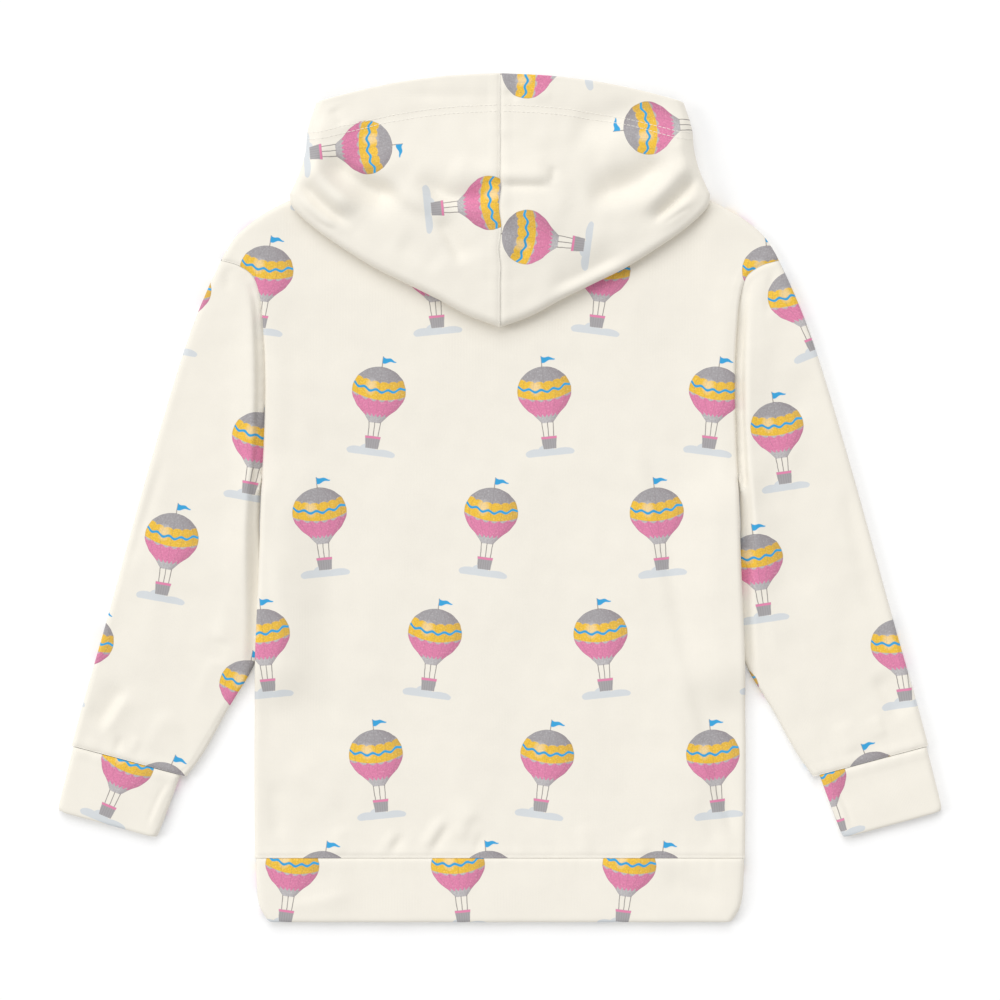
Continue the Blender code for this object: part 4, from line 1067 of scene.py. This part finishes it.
def hood_layout(surfaces, move, fold_row, turn_column, mirror):
    """The shown layer as it lies, and the others turned over about its lower edge and its side."""
    points = surfaces[0][..., :2]
    row, column = np.arange(points.shape[0])[:, None], np.arange(points.shape[1])[None]
    under = reflected(points, HOOD_LOWER_EDGE[1], HOOD_LOWER_EDGE[-1])
    front = reflected(points, HOOD_SIDE_FOLD[0], HOOD_SIDE_FOLD[-1])
    other = np.where((column < turn_column)[..., None], under, front)
    layers = [mirrored(p) if mirror else p for p in (points, other)]
    shown = (row[:-1] >= fold_row) & (column < turn_column)
    return [turned(p, -90 if mirror else 90) + move for p in layers] + [shown]


back, front, band = back_panel(), front_panel(), waistband()
add_cloth("back_panel_cloth", back, flat_layout(back, (8, 20)))
add_cloth("front_panel_cloth", front, flat_layout(front, (52, 64), flip=True))
add_cloth("waistband_cloth", band, band_layout(band, (31, 12), (77, 12)), closed=True)
SLEEVE_TURN = 16  # degrees that the print turns with the sleeve
SLEEVE_LINE, CUFF_LINE = (SLEEVE_OUTER[1], SLEEVE_OUTER[-1]), (CUFF_OUTER[0], CUFF_OUTER[2])
LIMBS = (  # name, form, place of the print, outer edge, mirrored or not
    ("sleeve_right_cloth", sleeve(SLEEVE_FOLDS_RIGHT, 40), (40, 15), SLEEVE_LINE, False),
    ("sleeve_left_cloth", sleeve(SLEEVE_FOLDS_LEFT, 60), (60, 15), SLEEVE_LINE, True),
    ("cuff_right_cloth", cuff(80), (80, 5), CUFF_LINE, False),
    ("cuff_left_cloth", cuff(90), (90, 5), CUFF_LINE, True),
)
for name, surfaces, move, line, mirror in LIMBS:
    add_cloth(name, surfaces, tube_layout(surfaces, move, SLEEVE_TURN, line, mirror), mirror, closed=True)
HOODS = (
    ("hood_right", hood(HOOD_FOLDS_RIGHT, 100, SEAM_SWAY), (60, 30), False),
    ("hood_left", hood(HOOD_FOLDS_LEFT, 110, -SEAM_SWAY), (94, 18), True),
)
for name, (surfaces, _, fold_row, turn_column), move, mirror in HOODS:
    add_cloth(name + "_cloth", surfaces, hood_layout(surfaces, move, fold_row, turn_column, mirror), mirror)

# ---- the hood's hem stitches
STITCH, STITCH_GAP, THREAD = 3, 0.5, 0.24  # length, space to the next, radius
STITCH_FORM = (  # place along the stitch, girth as a share of the thread's, and height above the cloth
    (0, 0.15, -0.15), (0.25, 0.7, 0.02), (0.8, 1, 0.12), (1.5, 1, 0.16), (2.2, 1, 0.12), (2.75, 0.7, 0.02),
    (3, 0.15, -0.15),
)
THREAD_LOOK = {"Base Color": (0.92, 0.89, 0.82, 1), "Roughness": 0.55, "Sheen Weight": 0.2}
thread, _ = new_material("thread", THREAD_LOOK)


def hem_line(surfaces, from_edge, rows, columns, depth):
    """Points on the outside of the hood this deep in its hem, with the cloth's outward direction there."""
    line, facing = [], []
    for column in columns:
        distance = from_edge[rows, column]
        crossings = np.flatnonzero((distance[:-1] > depth) & (distance[1:] <= depth))
        if len(crossings):
            k = crossings[-1]
            t = (distance[k] - depth) / (distance[k] - distance[k + 1])
            outer, inner = [s[rows[k], column] * (1 - t) + s[rows[k] + 1, column] * t for s in surfaces]
            line.append(outer)
            facing.append(unit(outer - inner))
    return np.array(line), np.array(facing)


def stitches_along(line, facing):
    """Corner points and faces of a row of stitches."""
    place, girth, lift = np.array(STITCH_FORM).T
    run = run_along(line)
    starts = np.arange(1, run[-1] - STITCH, STITCH + STITCH_GAP)
    along = starts[:, None] + place / place[-1] * STITCH
    centre, up = read_at(along, run, line), read_at(along, run, facing)
    side = np.cross(unit(np.gradient(centre, axis=1)), up)
    centre = centre + up * lift[:, None]
    angles = np.arange(6) * np.pi / 3
    ring = np.cos(angles)[:, None] * side[..., None, :] + np.sin(angles)[:, None] * up[..., None, :]
    points = centre[..., None, :] + ring * (girth * THREAD)[:, None, None]
    index = np.arange(points[..., 0].size).reshape(points.shape[:-1])
    after = np.roll(index, -1, axis=-1)
    faces = np.stack([index[:, :-1], after[:, :-1], after[:, 1:], index[:, 1:]], -1).reshape(-1, 4)
    ends = np.concatenate([index[:, 0, ::-1], index[:, -1]])
    return points.reshape(-1, 3), faces.tolist() + ends.tolist()


def add_stitches(name, surfaces, from_edge, fold_row, turn_column, mirror):
    """Two rows of stitches along one half of the hem, on the shown layer and on the one below."""
    rows = np.arange(fold_row + 1, len(from_edge))
    points, faces, count = [], [], 0
    for depth in (HEM_DEPTH, HEM_DEPTH - NEEDLE_GAP):
        for columns in (range(1, turn_column - 1), range(turn_column + 3, from_edge.shape[1] - 1)):
            corners, sides = stitches_along(*hem_line(surfaces, from_edge, rows, columns, depth))
            points.append(corners)
            faces += [[corner + count for corner in face] for face in sides]
            count += len(corners)
    points = np.vstack(points)
    if mirror:
        points, faces = mirrored(points), [face[::-1] for face in faces]
    piece = add_mesh(name, points, faces, thread)
    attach(piece, "root")
    return piece


hems = {name + "_cloth": [add_stitches(name + "_stitches", *form, mirror)] for name, form, _, mirror in HOODS}

# ---- room, light and camera, in metres
FLOOR, FLOOR_DROP = 6, 0.0003  # half its side, and how far it lies below the cloth
PAPER = {
    "Base Color": (0.85, 0.85, 0.85, 1),
    "Emission Color": WHITE,
    "Emission Strength": 0.15,
    "Roughness": 0.9,
    "Specular IOR Level": 0,
}
LIGHTS = (  # name, strength, width and direction
    ("window", 1.3, 0.8, (0.15, -0.64, -0.75)),
    ("left_side", 0.8, 0.5, (0.8, -0.1, -0.59)),
    ("right_side", 0.15, 0.5, (-0.8, -0.1, -0.59)),
)
WORLD = {"Color": WHITE, "Strength": 0.55}
LENS, SENSOR, FRAME_WIDTH = 100, 36, 0.76
CAMERA_Y, CLOTH_TOP = -0.00076, 0.008

paper, _ = new_material("paper", PAPER)
corners = np.array(((-1, -1, 0), (1, -1, 0), (1, 1, 0), (-1, 1, 0))) * FLOOR / METRES
floor = add_mesh("floor", corners, [(0, 1, 2, 3)], paper)
floor.location.z = -FLOOR_DROP

world = bpy.data.worlds.new("studio")
bpy.context.scene.world = world
world.use_nodes = True
set_inputs(world.node_tree.nodes["Background"], WORLD)
for name, energy, angle, direction in LIGHTS:
    lamp = bpy.data.lights.new(name, "SUN")
    lamp.energy, lamp.angle = energy, angle
    placed(name, lamp).rotation_euler = Vector(direction).to_track_quat("-Z", "Y").to_euler()

view = bpy.data.cameras.new("camera")
view.lens, view.sensor_width = LENS, SENSOR
camera = placed("camera", view)
camera.location = (0, CAMERA_Y, FRAME_WIDTH * LENS / SENSOR + CLOTH_TOP)
bpy.context.scene.camera = camera
bpy.context.scene.view_settings.view_transform = "Standard"
